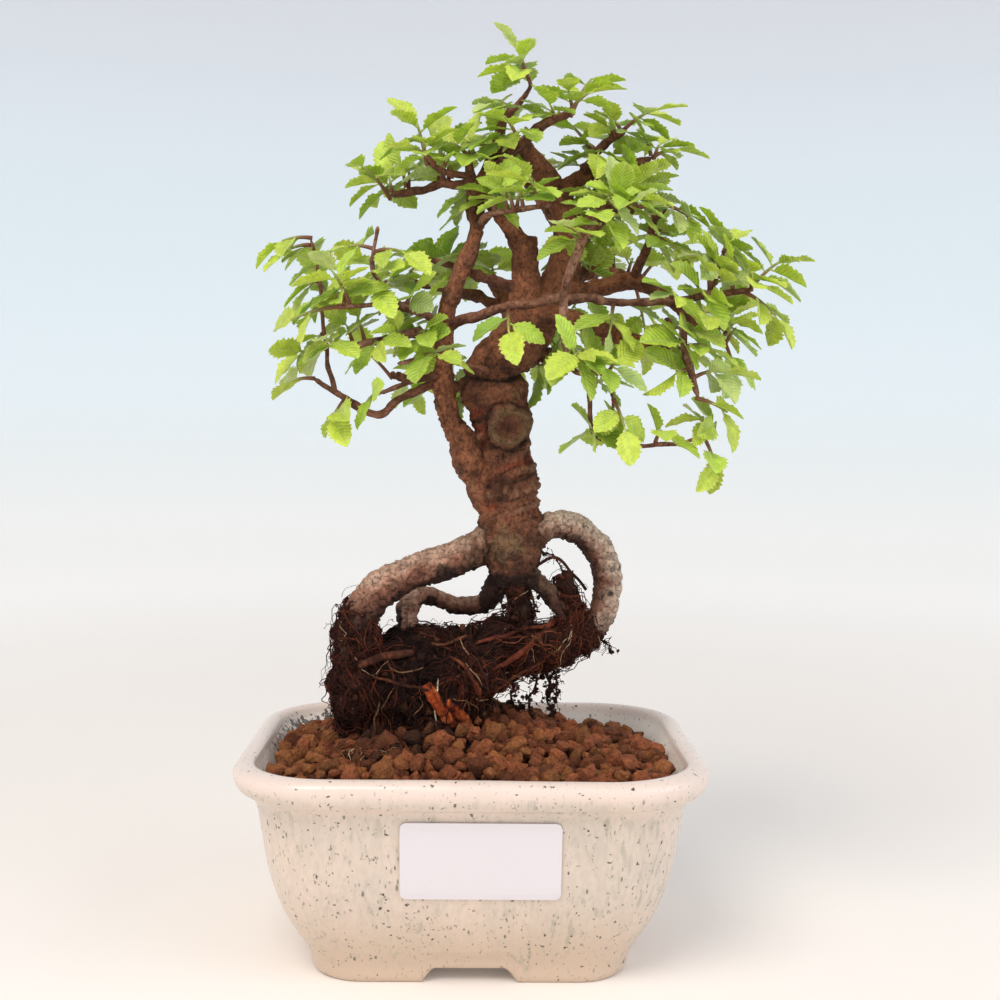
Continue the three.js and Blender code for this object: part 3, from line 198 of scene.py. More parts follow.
# The crease round the trunk: its height, and the middle and reach of the wood that it marks
CREASE_HEIGHT = 188.8
CREASE_MIDDLE = 6.5
CREASE_REACH = 14

# Healed scar on the trunk's front: middle, half width and half height
SCAR = ((10.7, -8.6, 172.6), 6.6, 6.6)

# The peat's lumps, [x, y, z, half sizes]: the mass, the skin of peat on the left root, the peak by the right
# one, the frayed column under the trunk and the apron on the soil
PEAT_LUMPS = [
    (-19, 1, 85, 25, 22, 20), (-24, 0, 70, 18, 18, 14), (-9, 2, 73, 15, 18, 13), (7, 1, 97, 20, 14, 9.5),
    (28, 0, 101.5, 12, 8.5, 6.5), (22, 0, 97, 12, 8, 6), (-38.5, -8, 86, 8.8, 10.8, 15),
    (-42, -7, 102, 4.4, 6, 10), (-37.7, -10.5, 99, 8.2, 8.5, 18), (31.4, -1, 117.3, 3.4, 3.2, 7.6),
    (32.6, -1, 111, 5.6, 4.8, 7), (35, 0, 104, 8.5, 6, 7), (14.6, 0, 119, 3.4, 3.4, 5),
    (15.4, 1, 110, 2.6, 3.2, 6.5), (2, -8, 90, 10, 9, 8), (-34, -2, 68, 12, 14, 12), (25, -6, 100, 7, 5, 5),
    (-27, -23, 65, 14, 10, 5.5), (-11, -21, 64.5, 12, 8, 5), (-39, -10, 66, 7, 12, 6),
]
# Hanging strands of fine roots under the mass, by the trunk and at its ends: [x, y, z, radius] along each
STRANDS = [
    [(24, 0, 91, 1), (25.5, -1, 86, 0.9), (25, 0, 81, 0.8), (26.9, 0, 75.5, 0.6)],
    [(20, -3, 92, 0.9), (21, -3, 86, 0.8), (19, -2, 80, 0.7), (21, -2, 73, 0.6)],
    [(14, 0, 88, 0.9), (13, -1, 82, 0.8), (15, 0, 75, 0.6)],
    [(27, -2, 92, 0.7), (28, -2, 86, 0.6), (27.5, -2, 80, 0.5)],
    [(17, -1, 122, 0.7), (20, -2, 115, 0.7), (20, -1, 108, 0.7), (21, -2, 102, 0.7)],
    [(12, -3, 123, 0.7), (14, -3, 115, 0.7), (15, -3, 107, 0.7)],
    [(10.5, -2, 123, 0.8), (11, -3, 116, 0.8), (13, -3, 107, 0.8)],
    [(18.5, 1, 122, 0.8), (17.6, 0, 114, 0.8), (18.4, 1, 106, 0.8)],
    [(20, -1, 131, 0.32), (26, -1, 130, 0.3), (29.5, -1, 125, 0.3), (31, -1, 118, 0.3)],
    [(17, -1, 123, 0.24), (22, -1, 120.5, 0.2), (28, -1, 121.5, 0.2)],
    [(41, 0, 103, 0.8), (43.5, -1, 100.5, 0.7), (46.5, -1, 99.5, 0.4)],
    [(-42, -8, 113, 0.5), (-43.6, -7, 104, 0.5), (-43.6, -6, 95, 0.5), (-44, -5, 86, 0.4)],
]
# Rootlets on the front of the mass: a colour, and [x, z, radius, lift off the peat] along each
FRONT_ROOTLETS = (
    ("#7c3b26", [(27.5, 108.5, 1, 0), (20.5, 102.5, 1, 0.8), (14.8, 98, 0.9, 0.9), (9.6, 95, 0.8, 0.5),
        (6.6, 93, 0.6, 0)]),
    ("#6d3524", [(27, 107, 0.8, 0), (17, 105, 0.7, 0.8), (8.3, 103.5, 0.7, 0.6), (1, 101.5, 0.5, 0)]),
    ("#5f3626", [(-37, 95, 1.1, 0), (-30, 97.5, 1.4, 0.8), (-23, 98.6, 1.4, 0.8), (-19, 99, 0.9, 0)]),
    ("#5a3123", [(-33, 91.5, 0.5, 0), (-24, 89.8, 0.5, 1), (-17, 88.4, 0.5, 1), (-10.5, 86.5, 0.4, 0)]),
    ("#b3906c", [(-4, 102.5, 0.22, 0), (-2.5, 99, 0.24, 1), (-1, 97.6, 0.2, 0.4)]),
    ("#bd9c78", [(-2.6, 95.6, 0.22, 0), (1, 92, 0.24, 1.4), (3.2, 88.8, 0.2, 0.5)]),
    ("#d3c0a4", [(-11.2, 91.3, 0.22, 0.4), (-11.8, 83.6, 0.26, 1.2), (-11.8, 76, 0.24, 0.8)]),
    ("#b89873", [(-1.8, 85, 0.24, 0), (4, 82.4, 0.26, 1.6), (8, 80.5, 0.2, 0.8)]),
    ("#9a7657", [(-30, 83.5, 0.26, 0), (-31.4, 78, 0.26, 1.2), (-31.6, 72.5, 0.22, 0.4)]),
    ("#8f6a4c", [(-27, 94.6, 0.24, 0.2), (-22, 93.2, 0.26, 1.3), (-16, 95, 0.22, 0.4)]),
    ("#7b4a33", [(-18, 104, 0.45, 0), (-10, 100.6, 0.5, 1), (-2, 103.5, 0.4, 0.2)]),
    ("#7a4029", [(-8, 97.6, 0.6, 0), (-2, 94, 0.6, 1), (2, 87, 0.5, 0.8), (1.4, 80, 0.4, 0.2)]),
    ("#6a3a28", [(24, 96, 0.6, 0), (15, 91, 0.6, 1), (8, 86.6, 0.5, 0.6), (5, 80, 0.4, 0)]),
)
# Torn strips where the orange inner bark lies bare: [x, z, half width, lift] along each
BARE_STRIPS = (
    [(-15, 89.6, 1.5, 0.2), (-12, 84.6, 2.1, 0.7), (-9.6, 80.6, 2.1, 0.7), (-6.4, 75.4, 1.5, 0.3)],
    [(-8.4, 84.4, 1.3, 0.4), (-5.8, 80.6, 2, 0.8), (-3.2, 77.4, 2.1, 0.7), (-0.8, 73.8, 1.4, 0.3)],
)
THREAD_COLOURS = ("#26130d", "#41211a", "#63301f", "#854a2f", "#a8754f", "#cdb591")
# Sorts of thread: seed, share of the threads, steps, length of a step in mm, sides, share of the common radius,
# loose share, height over the peat in mm, and how often each of the colours comes
MAT_THREADS = ((141, 1.0, 9, 1.3, 3, 0.8, 0.26, 0.5, (42, 35, 15, 5, 2, 1)),)
LONG_THREADS = (
    (142, 0.5, 12, 1.8, 4, 1.0, 0.28, 0.8, (33, 38, 18, 7, 3, 1)),
    (144, 0.05, 14, 2.4, 5, 2.0, 0.1, 0.8, (22, 40, 30, 8, 0, 0)),
    (146, 0.014, 12, 1.5, 4, 0.75, 0.3, 1.2, (0, 0, 0, 1, 6, 4)),
)

# Shoots with their leaves: the same rule and numbers as the frame's own shoots
CROWN_CENTRE = np.array([14.0, 4.0, 212.0])
GAP = 0.3
LEAF_LENGTH = 12.4
LEAF_SPREAD = 5.0
LEAF_TILT = 0.8
OUTWARD_LEAN = 0.55
UPWARD_LEAN = 0.75
PETIOLE_LENGTH = 0.14
STEM_RADIUS = 0.65
LEAN = (-0.35, 0.75)
LEAF_ATTEMPTS = 24
LEAF_SPACING = 2.5
TWIG_SPACING = 1.5
OWN_SPACING = 1.0
BASE_SPACING = 2.0
BASE_STEPS = 8
# What side shoots leave in sight, the trunk, the fork and the front arch: they don't start at a place, or end
# at a tip, where x and z lie between these and y is less than the last number
ANY = float("inf")
BARE_PLACES = ((-14, 26, -ANY, 208, 8), (4, 28, -ANY, 230, 8), (26, 60, 196, 226, 8), (-ANY, -12, -ANY, 190, ANY))
BARE_TIPS = ((-24, 27, -ANY, 200, 0), (24, 58, 198, 226, 0))
SIDE_SHOOT_SPACING = 1.5
SIDE_SHOOT_ATTEMPTS = 14

# The camera's place in mm and its pitch, yaw and roll in degrees, worked out from the pot's rim and base
CAMERA_PLACE = (-0.08, -450.7, 173.6)
CAMERA_TURN = (3.245, -1.086, 0.695)


def tint(code):
    """A hex sRGB colour as linear red, green, blue and alpha."""
    values = [int(code[place:place + 2], 16) / 255 for place in (1, 3, 5)]
    return tuple(v / 12.92 if v <= 0.04045 else ((v + 0.055) / 1.055) ** 2.4 for v in values) + (1.0,)


def shade(code):
    """A hex sRGB colour as a linear numpy row of three."""
    return np.array(tint(code)[:3])


def unit(vectors):
    """Vectors along the last axis, each divided by its length."""
    return vectors / np.maximum(np.linalg.norm(vectors, axis=-1, keepdims=True), 1e-9)


def grain(points, size, seed):
    """Smooth lattice noise from -1 to 1 with bumps about size mm across.

    Random values stand on the corners of a repeating lattice, and each point blends the eight round it,
    each weighted by the product of its three smoothed shares."""
    table = np.random.default_rng(seed).random((16, 16, 16)) * 2 - 1
    cell = np.asarray(points) / size
    low = np.floor(cell).astype(int)
    part = cell - low
    part = part * part * (3 - 2 * part)
    total = 0
    for corner in product((0, 1), repeat=3):
        weight = np.prod(np.where(corner, part, 1 - part), axis=-1)
        index = (low + corner) % 16
        total = total + weight * table[index[..., 0], index[..., 1], index[..., 2]]
    return total


def step_between(values, low, high):
    """0 below low, 1 above high, and a smooth S between them: 3t^2 - 2t^3."""
    share = np.clip((values - low) / (high - low), 0, 1)
    return share * share * (3 - 2 * share)


def bell(values, middle, width):
    """1 at the middle, falling off on both sides: exp(-((value - middle) / width)^2)."""
    return np.exp(-(((values - middle) / width) ** 2))


def sway(points, size, seed):
    """Three lattice noises as a vector at each point, which pushes a path off its line."""
    return np.stack([grain(points, size, seed + axis) for axis in range(3)], -1)


def blend(one, other, share):
    """Colours one and other, rows of three or hex codes, mixed by a share for each point."""
    one, other = (shade(colour) if isinstance(colour, str) else colour for colour in (one, other))
    return one + (other - one) * np.asarray(share)[..., None]


def smooth_rows(rows, spacing):
    """Rows of numbers resampled on a smooth curve about spacing apart.

    Between two rows it is the cubic that meets both with the slopes of their neighbours. The place's slope is
    the mean over its two neighbours; for the other numbers it is the harmonic mean of those on its two sides, or none
    where they have opposite signs, so these don't overshoot."""
    rows = np.asarray(rows, float)
    length = np.concatenate([[0], np.cumsum(np.linalg.norm(np.diff(rows[:, :3], axis=0), axis=1))])
    gaps = np.diff(length)[:, None]
    secant = np.diff(rows, axis=0) / gaps
    slope = np.zeros_like(rows)
    slope[0], slope[-1] = secant[0], secant[-1]
    before, after = secant[:-1], secant[1:]
    middle = (rows[2:] - rows[:-2]) / (length[2:] - length[:-2])[:, None]
    harmonic = np.where(before * after > 0, 2 * before * after / np.where(before + after == 0, 1, before + after), 0)
    slope[1:-1] = middle
    slope[1:-1, 3:] = harmonic[:, 3:]
    count = max(int(np.ceil(length[-1] / spacing)) + 1, 4)
    place = np.linspace(0, length[-1], count)
    index = np.clip(np.searchsorted(length, place, side="right") - 1, 0, len(rows) - 2)
    gap = gaps[index]
    t = (place - length[index])[:, None] / gap
    return (
        (2 * t**3 - 3 * t**2 + 1) * rows[index] + (t**3 - 2 * t**2 + t) * gap * slope[index]
        + (3 * t**2 - 2 * t**3) * rows[index + 1] + (t**3 - t**2) * gap * slope[index + 1]
    )


def cells(rows, columns, closed=True):
    """Corners of the cells of a grid of points given row by row; closed joins its last column to its first."""
    row, column = np.meshgrid(np.arange(rows - 1), np.arange(columns if closed else columns - 1), indexing="ij")
    beside = (column + 1) % columns
    return np.stack(
        [row * columns + column, row * columns + beside, (row + 1) * columns + beside, (row + 1) * columns + column],
        axis=-1,
    ).reshape(-1, 4)


def copies(faces, count, size):
    """Faces once for each of count copies of their points, which follow each other by size."""
    faces = np.asarray(faces)
    return (faces + np.arange(count)[:, None, None] * size).reshape(-1, faces.shape[-1])


def closed_rings(points, first, last):
    """Rings of points as one list with a middle point for each end, their cells and a fan at each end."""
    rows, columns = points.shape[:2]
    flat = np.concatenate([points.reshape(-1, 3), [first], [last]])
    here = np.arange(columns)
    beside = (here + 1) % columns
    end = (rows - 1) * columns
    fans = [np.stack([np.full(columns, len(flat) - 2), beside, here], -1),
        np.stack([np.full(columns, len(flat) - 1), here + end, beside + end], -1)]
    return flat, [cells(rows, columns)] + fans


class Shape:
    """Points in mm with their faces, and a colour and a grain coordinate for each point."""

    def __init__(self, points, faces, paint=None, grown=None):
        self.points = np.asarray(points, float).reshape(-1, 3)
        self.faces = [np.asarray(block, int) for block in faces]
        count = len(self.points)
        self.paint = np.ones((count, 3)) if paint is None else np.broadcast_to(paint, (count, 3))
        self.grown = self.points if grown is None else np.asarray(grown, float).reshape(-1, 3)


def together(shapes):
    """Several shapes as one, the corners of each counted on from those before it."""
    start, faces = 0, []
    for shape in shapes:
        faces += [block + start for block in shape.faces]
        start += len(shape.points)
    joined = Shape(np.concatenate([shape.points for shape in shapes]), faces)
    joined.paint = np.concatenate([shape.paint for shape in shapes])
    joined.grown = np.concatenate([shape.grown for shape in shapes])
    return joined


def sweep(paths, radii, sides, relief=None):
    """Closed tubes along one path or several with the same number of steps.

    At each step a ring of points stands at centre + radius * (cos a * across + sin a * other); across is
    carried along the path without twist and other is tangent x across. relief(points, outward) in mm is
    added along the outward direction. A fan closes each end. The grain coordinate of a point is
    (radius cos a, radius sin a, length along the path), so a pattern follows the tube with no seam."""
    paths, radii = np.asarray(paths, float), np.asarray(radii, float)
    if paths.ndim == 2:
        paths, radii = paths[None], radii[None]
    tubes, steps = radii.shape
    tangent = unit(np.gradient(paths, axis=1))
    across = np.zeros_like(paths)
    now = unit(np.cross(tangent[:, 0], [0.35, 1, 0.2]))
    for step in range(steps):
        now = unit(now - tangent[:, step] * np.sum(now * tangent[:, step], axis=-1, keepdims=True))
        across[:, step] = now
    other = np.cross(tangent, across)
    turn = np.arange(sides) * 2 * np.pi / sides
    outward = np.cos(turn)[:, None] * across[:, :, None] + np.sin(turn)[:, None] * other[:, :, None]
    rings = paths[:, :, None] + radii[:, :, None, None] * outward
    if relief is not None:
        rings = rings + outward * relief(rings, outward)[..., None]
    length = np.cumsum(np.linalg.norm(np.diff(paths, axis=1, prepend=paths[:, :1]), axis=-1), axis=1)
    grown = np.empty_like(rings)
    grown[..., 0] = radii[:, :, None] * np.cos(turn)
    grown[..., 1] = radii[:, :, None] * np.sin(turn)
    grown[..., 2] = length[:, :, None]
    count = steps * sides
    start = np.arange(tubes)[:, None] * count
    walls = copies(cells(steps, sides), tubes, count)
    here = np.arange(sides)
    beside = (here + 1) % sides
    first = tubes * count + np.arange(tubes)
    last = first + tubes
    near = np.stack([np.broadcast_to(first[:, None], (tubes, sides)), beside + start, here + start], -1)
    far = np.stack(
        [np.broadcast_to(last[:, None], (tubes, sides)), here + start + count - sides,
         beside + start + count - sides], -1)
    points = np.concatenate([rings.reshape(-1, 3), paths[:, 0], paths[:, -1]])
    zero = np.zeros(tubes)
    ends = [np.stack([zero, zero, length[:, end]], -1) for end in (0, -1)]
    grown = np.concatenate([grown.reshape(-1, 3), *ends])
    return Shape(points, [walls, near.reshape(-1, 3), far.reshape(-1, 3)], grown=grown)


def cube_ball(cuts):
    """Unit sphere from a cube: each side has cuts x cuts cells, whose corners are pushed out to length 1."""
    ticks = np.linspace(-1, 1, cuts + 1)
    u, v = np.meshgrid(ticks, ticks, indexing="ij")
    one = np.ones_like(u)
    sides = [(one, u, v), (-one, v, u), (v, one, u), (u, -one, v), (u, v, one), (v, u, -one)]
    points = np.concatenate([np.stack(side, -1).reshape(-1, 3) for side in sides])
    faces = np.concatenate([cells(cuts + 1, cuts + 1, closed=False) + index * (cuts + 1) ** 2 for index in range(6)])
    unique, back = np.unique(np.round(points, 6), axis=0, return_inverse=True)
    return unit(np.tan(unique * np.pi / 4)), back.reshape(-1)[faces]


def ellipsoid(middle, halves, cuts, roughness, size, seed):
    """A closed lump: a cube ball scaled by halves about its middle, pushed in and out by lattice noise."""
    ball, faces = cube_ball(cuts)
    middle, halves = np.array(middle, float), np.array(halves, float)
    push = 1 + roughness * grain(ball * halves + middle, size, seed)
    push += roughness * 0.5 * grain(ball * halves + middle, size * 0.4, seed + 1)
    return Shape(middle + ball * halves * push[:, None], [faces])


def outward_faces(shape):
    """The shape with its faces turned over if they point in, told by the sign of its volume."""
    volume = 0.0
    for block in shape.faces:
        corners = shape.points[block]
        for index in range(1, block.shape[1] - 1):
            volume += np.sum(corners[:, 0] * np.cross(corners[:, index], corners[:, index + 1]))
    if volume < 0:
        shape.faces = [block[:, ::-1] for block in shape.faces]
    return shape


def add_piece(name, shape, material, replaced=(), smooth=True):
    """Puts a shape in a mesh object at the origin, with its colours and grain, and rides it on the body."""
    mesh = bpy.data.meshes.new(name)
    corners = np.concatenate([block.reshape(-1) for block in shape.faces])
    totals = np.concatenate([np.full(len(block), block.shape[1]) for block in shape.faces])
    mesh.vertices.add(len(shape.points))
    mesh.vertices.foreach_set("co", ((shape.points + SHIFT) * MM).astype(np.float32).ravel())
    mesh.loops.add(len(corners))
    mesh.loops.foreach_set("vertex_index", corners.astype(np.int32))
    mesh.polygons.add(len(totals))
    mesh.polygons.foreach_set("loop_start", np.concatenate([[0], np.cumsum(totals)[:-1]]).astype(np.int32))
    mesh.polygons.foreach_set("use_smooth", np.full(len(totals), smooth))
    paint = mesh.attributes.new("paint", "FLOAT_COLOR", "POINT")
    colours = np.concatenate([shape.paint, np.ones((len(shape.points), 1))], axis=1)
    paint.data.foreach_set("color", colours.astype(np.float32).ravel())
    grown = mesh.attributes.new("grown", "FLOAT_VECTOR", "POINT")
    grown.data.foreach_set("vector", shape.grown.astype(np.float32).ravel())
    mesh.update(calc_edges=True)
    mesh.validate()
    mesh.materials.append(material)
    piece = bpy.data.objects.new(name, mesh)
    bpy.context.scene.collection.objects.link(piece)
    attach(piece, "root")
    if replaced:
        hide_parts(*replaced)
    return piece


def plug(tree, node, inputs):
    """Sets a node's inputs, by name or place, to values, to outputs, or to nodes: a Mix node's colour or
    another node's first output."""
    for key, value in inputs.items():
        if isinstance(value, bpy.types.Node):
            value = value.outputs[2 if value.bl_idname == "ShaderNodeMix" else 0]
        if isinstance(value, bpy.types.NodeSocket):
            tree.links.new(value, node.inputs[key])
        else:
            node.inputs[key].default_value = value


def add_node(tree, kind, inputs=None, stops=None, **settings):
    """Adds a shader node: settings are its own properties, stops its ramp's places and colours, and inputs
    what plug sets. A Mix node mixes colours."""
    made = tree.nodes.new("ShaderNode" + kind)
    if kind == "Mix":
        made.data_type = "RGBA"
    for key, value in settings.items():
        setattr(made, key, value)
    if stops:
        elements = made.color_ramp.elements
        while len(elements) < len(stops):
            elements.new(0.5)
        for element, (place, colour) in zip(elements, stops):
            element.position, element.color = place, colour
    plug(tree, made, inputs or {})
    return made


def new_material(name, **shader_inputs):
    """An empty material with a Principled shader, whose inputs are given with _ for spaces."""
    material = bpy.data.materials.new(name)
    material.use_nodes = True
    tree = material.node_tree
    tree.nodes.clear()
    shader = add_node(tree, "BsdfPrincipled", {
        key.replace("_", " "): value for key, value in shader_inputs.items()})
    add_node(tree, "OutputMaterial", {0: shader})
    return material, tree, shader


# Placing the leaves


def seeded(seed):
    """A seeded draw between 0 and 1 at each call, from 32-bit mixing of a counter."""
    state = seed

    def draw():
        nonlocal state
        state = (state + 0x6D2B79F5) & 0xFFFFFFFF
        mixed = ((state ^ (state >> 15)) * (state | 1)) & 0xFFFFFFFF
        mixed ^= (mixed + (((mixed ^ (mixed >> 7)) * (mixed | 61)) & 0xFFFFFFFF)) & 0xFFFFFFFF
        return ((mixed ^ (mixed >> 14)) & 0xFFFFFFFF) / 4294967296

    return draw


class Segments:
    """Straight tapered segments, and how near points lie to them."""

    def __init__(self, starts, ends, start_radii, end_radii, owners=None):
        self.starts, self.ends = np.array(starts, float).reshape(-1, 3), np.array(ends, float).reshape(-1, 3)
        self.start_radii, self.end_radii = np.array(start_radii, float), np.array(end_radii, float)
        self.owners = np.zeros(len(self.starts), int) if owners is None else np.array(owners)

    def nearest(self, points):
        """For each point and segment: the nearest place, its distance and the segment's radius there."""
        along = self.ends - self.starts
        square = np.maximum(np.sum(along * along, axis=1), 1e-12)
        reach = points[:, None] - self.starts
        share = np.clip(np.sum(reach * along, axis=2) / square, 0, 1)
        place = self.starts + along * share[..., None]
        radius = self.start_radii + (self.end_radii - self.start_radii) * share
        return place, np.linalg.norm(points[:, None] - place, axis=2), radius

    def clear(self, points, spacing):
        """Whether every point keeps a spacing from every segment's surface."""
        if not len(self.starts):
            return True
        _, distance, radius = self.nearest(points)
        return bool(np.all(distance >= radius + spacing))


def wood_segments():
    """Every branch and root as segments; those that bear no leaves are marked."""
    starts, ends, near, far, bare = [], [], [], [], []
    for name, rows in BRANCHES.items():
        for one, two in zip(rows[:-1], rows[1:]):
            starts.append(one[:3])
            ends.append(two[:3])
            near.append(one[3])
            far.append(two[3])
            bare.append(name in LEAFLESS)
    return Segments(starts, ends, near, far, bare)


def outlook(place):
    """The way that leaves face at a point: up and away from the middle of the crown."""
    return unit(place - CROWN_CENTRE) * OUTWARD_LEAN + np.array([0, 0, UPWARD_LEAN])


def stem_base(tip, wood, bark, bases):
    """Where a shoot starts: on the bark nearest its tip, or down that branch past shoots already there."""
    leafy = Segments(*(values[wood.owners == 0] for values in
        (wood.starts, wood.ends, wood.start_radii, wood.end_radii)))
    place, distance, radius = leafy.nearest(tip[None])
    index = int(np.argmin(distance[0] - radius[0]))
    place = place[0, index]
    down = unit(leafy.starts[index] - leafy.ends[index])
    reach = tip - place
    sideways = unit(reach - down * (reach @ down)) * 4 * BASE_SPACING
    starts = []
    for step in range(BASE_STEPS):
        aim = place + down * step
        eye = tip if step == 0 else aim + sideways
        hit, normal, _, _ = bark.ray_cast(Vector(eye), Vector(unit(aim - eye)))
        if hit is not None:
            hit, normal = np.array(hit), np.array(normal)
            slant = np.linalg.norm(np.cross(unit(tip - hit), normal))
            starts.append(hit + normal * (GAP + STEM_RADIUS * 1.1 * slant))
    free = [start for start in starts if all(np.linalg.norm(base - start) > BASE_SPACING for base in bases)]
    return (free or starts)[0]


class Stem:
    """A shoot's stem: the curve from its base to its tip, pulled by a middle point a little above them."""

    def __init__(self, base, tip):
        self.base, self.tip = base, tip
        self.middle = (base + tip) / 2 + np.array([0, 0, 0.12 * np.linalg.norm(tip - base)])

    def point(self, share):
        share = np.asarray(share, float)[..., None]
        return (1 - share) ** 2 * self.base + 2 * share * (1 - share) * self.middle + share**2 * self.tip

    def tangent(self, share):
        share = np.asarray(share, float)[..., None]
        return unit((1 - share) * (self.middle - self.base) + share * (self.tip - self.middle))

    def segments(self, owner):
        points = self.point(np.linspace(0, 1, 5))
        radii = STEM_RADIUS * (1.1 - 0.3 * np.linspace(0, 1, 5))
        return Segments(points[:-1], points[1:], radii[:-1], radii[1:], [owner] * 4)


def draw_leaf(stem, order, count, draw):
    """One leaf drawn on a stem: place, axis, normal, length, fold and curl, as the frame's rule has it."""
    share = min(0.3 + (0.7 * (order + 0.75)) / (count - 0.25), 1)
    hand = 1 if order % 2 == 0 else -1
    place, along = stem.point(share), stem.tangent(share)
    facing = outlook(place) + (np.array([draw(), draw(), draw()]) - 0.5) * LEAF_TILT
    side = unit(np.cross(along, facing))
    turn = draw()
    spread = (turn - 0.5) * 0.5 if share == 1 else (0.85 + 0.45 * turn) * hand
    axis = along * np.cos(spread) + side * np.sin(spread)
    axis[2] -= 0.05 + 0.4 * draw()
    axis = unit(axis)
    normal = unit(facing - axis * (facing @ axis))
    length = (LEAF_LENGTH + LEAF_SPREAD * (draw() - 0.5)) * (1.05 - 0.2 * share)
    fold = 0.15 + 0.3 * draw()
    curl = 0.04 + 0.14 * draw()
    return {"place": place, "axis": axis, "normal": normal, "length": length, "fold": fold, "curl": curl,
        "share": share, "lean": float(axis @ along)}


def blade_samples(leaf):
    """Points spread over a blade, which other leaves and twigs keep away from."""
    rows = [(0.1, 0), (0.3, 0), (0.5, 0), (0.7, 0), (0.85, 0), (1, 0)]
    for side in (-1, 1):
        rows += [(0.22, 0.16 * side), (0.36, 0.28 * side), (0.5, 0.14 * side), (0.6, 0.25 * side)]
        rows += [(0.78, 0.13 * side)]
    along, across = np.array(rows).T
    along = along + PETIOLE_LENGTH
    side = np.cross(leaf["normal"], leaf["axis"])
    height = leaf["fold"] * np.abs(across) * leaf["length"] - leaf["curl"] * leaf["length"] * along**2
    return (leaf["place"] + np.outer(along, leaf["axis"]) * leaf["length"]
        + np.outer(across, side) * leaf["length"] + np.outer(height, leaf["normal"]))


def draw_leaves(stem, count, draw, wood, own, others, placed, spacing=LEAF_SPACING, attempts=LEAF_ATTEMPTS):
    """The leaves of one stem, each drawn again until it is clear of wood, stems and leaves, or left out."""
    leaves = []
    for order in range(count):
        for _ in range(attempts):
            leaf = draw_leaf(stem, order, count, draw)
            if leaf["share"] < 1 and not LEAN[0] < leaf["lean"] < LEAN[1]:
                continue
            samples = blade_samples(leaf)
            if not (wood.clear(samples, TWIG_SPACING) and own.clear(samples, OWN_SPACING)
                    and others.clear(samples, TWIG_SPACING)):
                continue
            near = [other for other in placed if np.linalg.norm(other[0] - samples[0]) < 2.6 * LEAF_LENGTH]
            if near:
                gaps = np.linalg.norm(np.concatenate(near)[:, None] - samples, axis=2)
                if gaps.min() < spacing:
                    continue
            placed.append(samples)
            leaves.append(leaf)
            break
    return leaves


def frame_shoots(wood, bark):
    """The frame's own shoots: their stems, their leaves and what is placed so far."""
    stems, bases = [], []
    for x, y, z, _ in SHOOT_TIPS:
        tip = np.array([x, y, z], float)
        bases.append(stem_base(tip, wood, bark, bases))
        stems.append(Stem(bases[-1], tip))
    segments = [stem.segments(index) for index, stem in enumerate(stems)]
    placed, leaves = [], []
    for index, stem in enumerate(stems):
        others = [part for which, part in enumerate(segments) if which != index]
        others = Segments(*(np.concatenate([getattr(part, key) for part in others]) for key in
            ("starts", "ends", "start_radii", "end_radii")))
        count = SHOOT_TIPS[index][3]
        leaves.append(draw_leaves(stem, count, seeded(100 + index), wood, segments[index], others, placed))
    return stems, leaves, placed


# Settings


def colour_property(name, description, code):
    """A colour that the user can change, with a hex default."""
    return bpy.props.FloatVectorProperty(
        name=name, description=description, subtype="COLOR", size=4, min=0, max=1, default=tint(code))


class BonsaiPotSettings(bpy.types.PropertyGroup):
    corner_steps: bpy.props.IntProperty(
        name="Corner steps", description="Points round each corner of the pot", default=18, min=4, max=48)
    glaze: colour_property("Glaze", "Cream of the glaze where it is thick", "#e3cfbf")
    thin_glaze: colour_property("Thin glaze", "Warmer tone over edges, rim and feet", "#f1dbcf")
    speck: colour_property("Specks", "Iron specks that melt into the glaze", "#59645c")
    label: colour_property("Label", "Blank paper of the stock label", "#e6dfe3")


class BonsaiSoilSettings(bpy.types.PropertyGroup):
    granule: bpy.props.FloatProperty(
        name="Granule", description="Width of a common clay granule, in millimetres", default=5.6, min=2, max=12)
    spacing: bpy.props.FloatProperty(
        name="Spacing", description="Distance between granules, in millimetres", default=4.4, min=2, max=12)
    clay: colour_property("Clay", "Fired clay of the granules", "#9f5b38")


class BonsaiWoodSettings(bpy.types.PropertyGroup):
    relief: bpy.props.FloatProperty(
        name="Relief", description="Height of the bark's ridges on the trunk, in millimetres", default=0.72,
        min=0, max=2)
    cell: bpy.props.FloatProperty(
        name="Cell", description="Size of the skin's cells over the thick wood, in millimetres", default=0.56,
        min=0.5, max=2)
    trunk: colour_property("Trunk bark", "Brown of the trunk", "#7d4e36")
    twig: colour_property("Twig bark", "Reddish brown of the twigs", "#845540")
    # The root bark colour is laid on the roots' tops by how they face: a painted highlight
    root: colour_property("Root bark", "Pale tops of the bare roots", "#e2cab3")


class BonsaiRootSettings(bpy.types.PropertyGroup):
    threads: bpy.props.IntProperty(
        name="Threads", description="Fine roots matted over the root mass", default=3000, min=0, max=4000)
    crumbs: bpy.props.IntProperty(
        name="Crumbs", description="Crumbs of peat on the root mass", default=2200, min=0, max=3000)
    thread_radius: bpy.props.FloatProperty(
        name="Thread radius", description="Radius of a common fine root, in millimetres", default=0.21, min=0.1, max=1)
    peat: colour_property("Peat", "Old peat in the root mass", "#29150d")


class BonsaiLeafSettings(bpy.types.PropertyGroup):
    thickness: bpy.props.FloatProperty(
        name="Thickness", description="Thickness of a leaf, in millimetres", default=0.3, min=0.1, max=1)
    side_shoots: bpy.props.IntProperty(
        name="Side shoots", description="Short shoots added between the frame's own", default=195, min=0, max=300)
    young: colour_property("Young leaf", "Yellow green of new leaves at the tips", "#c6d650")
    grown_leaf: colour_property("Grown leaf", "Green of grown leaves", "#acc845")
    old: colour_property("Old leaf", "Deeper green inside the crown", "#7ba238")


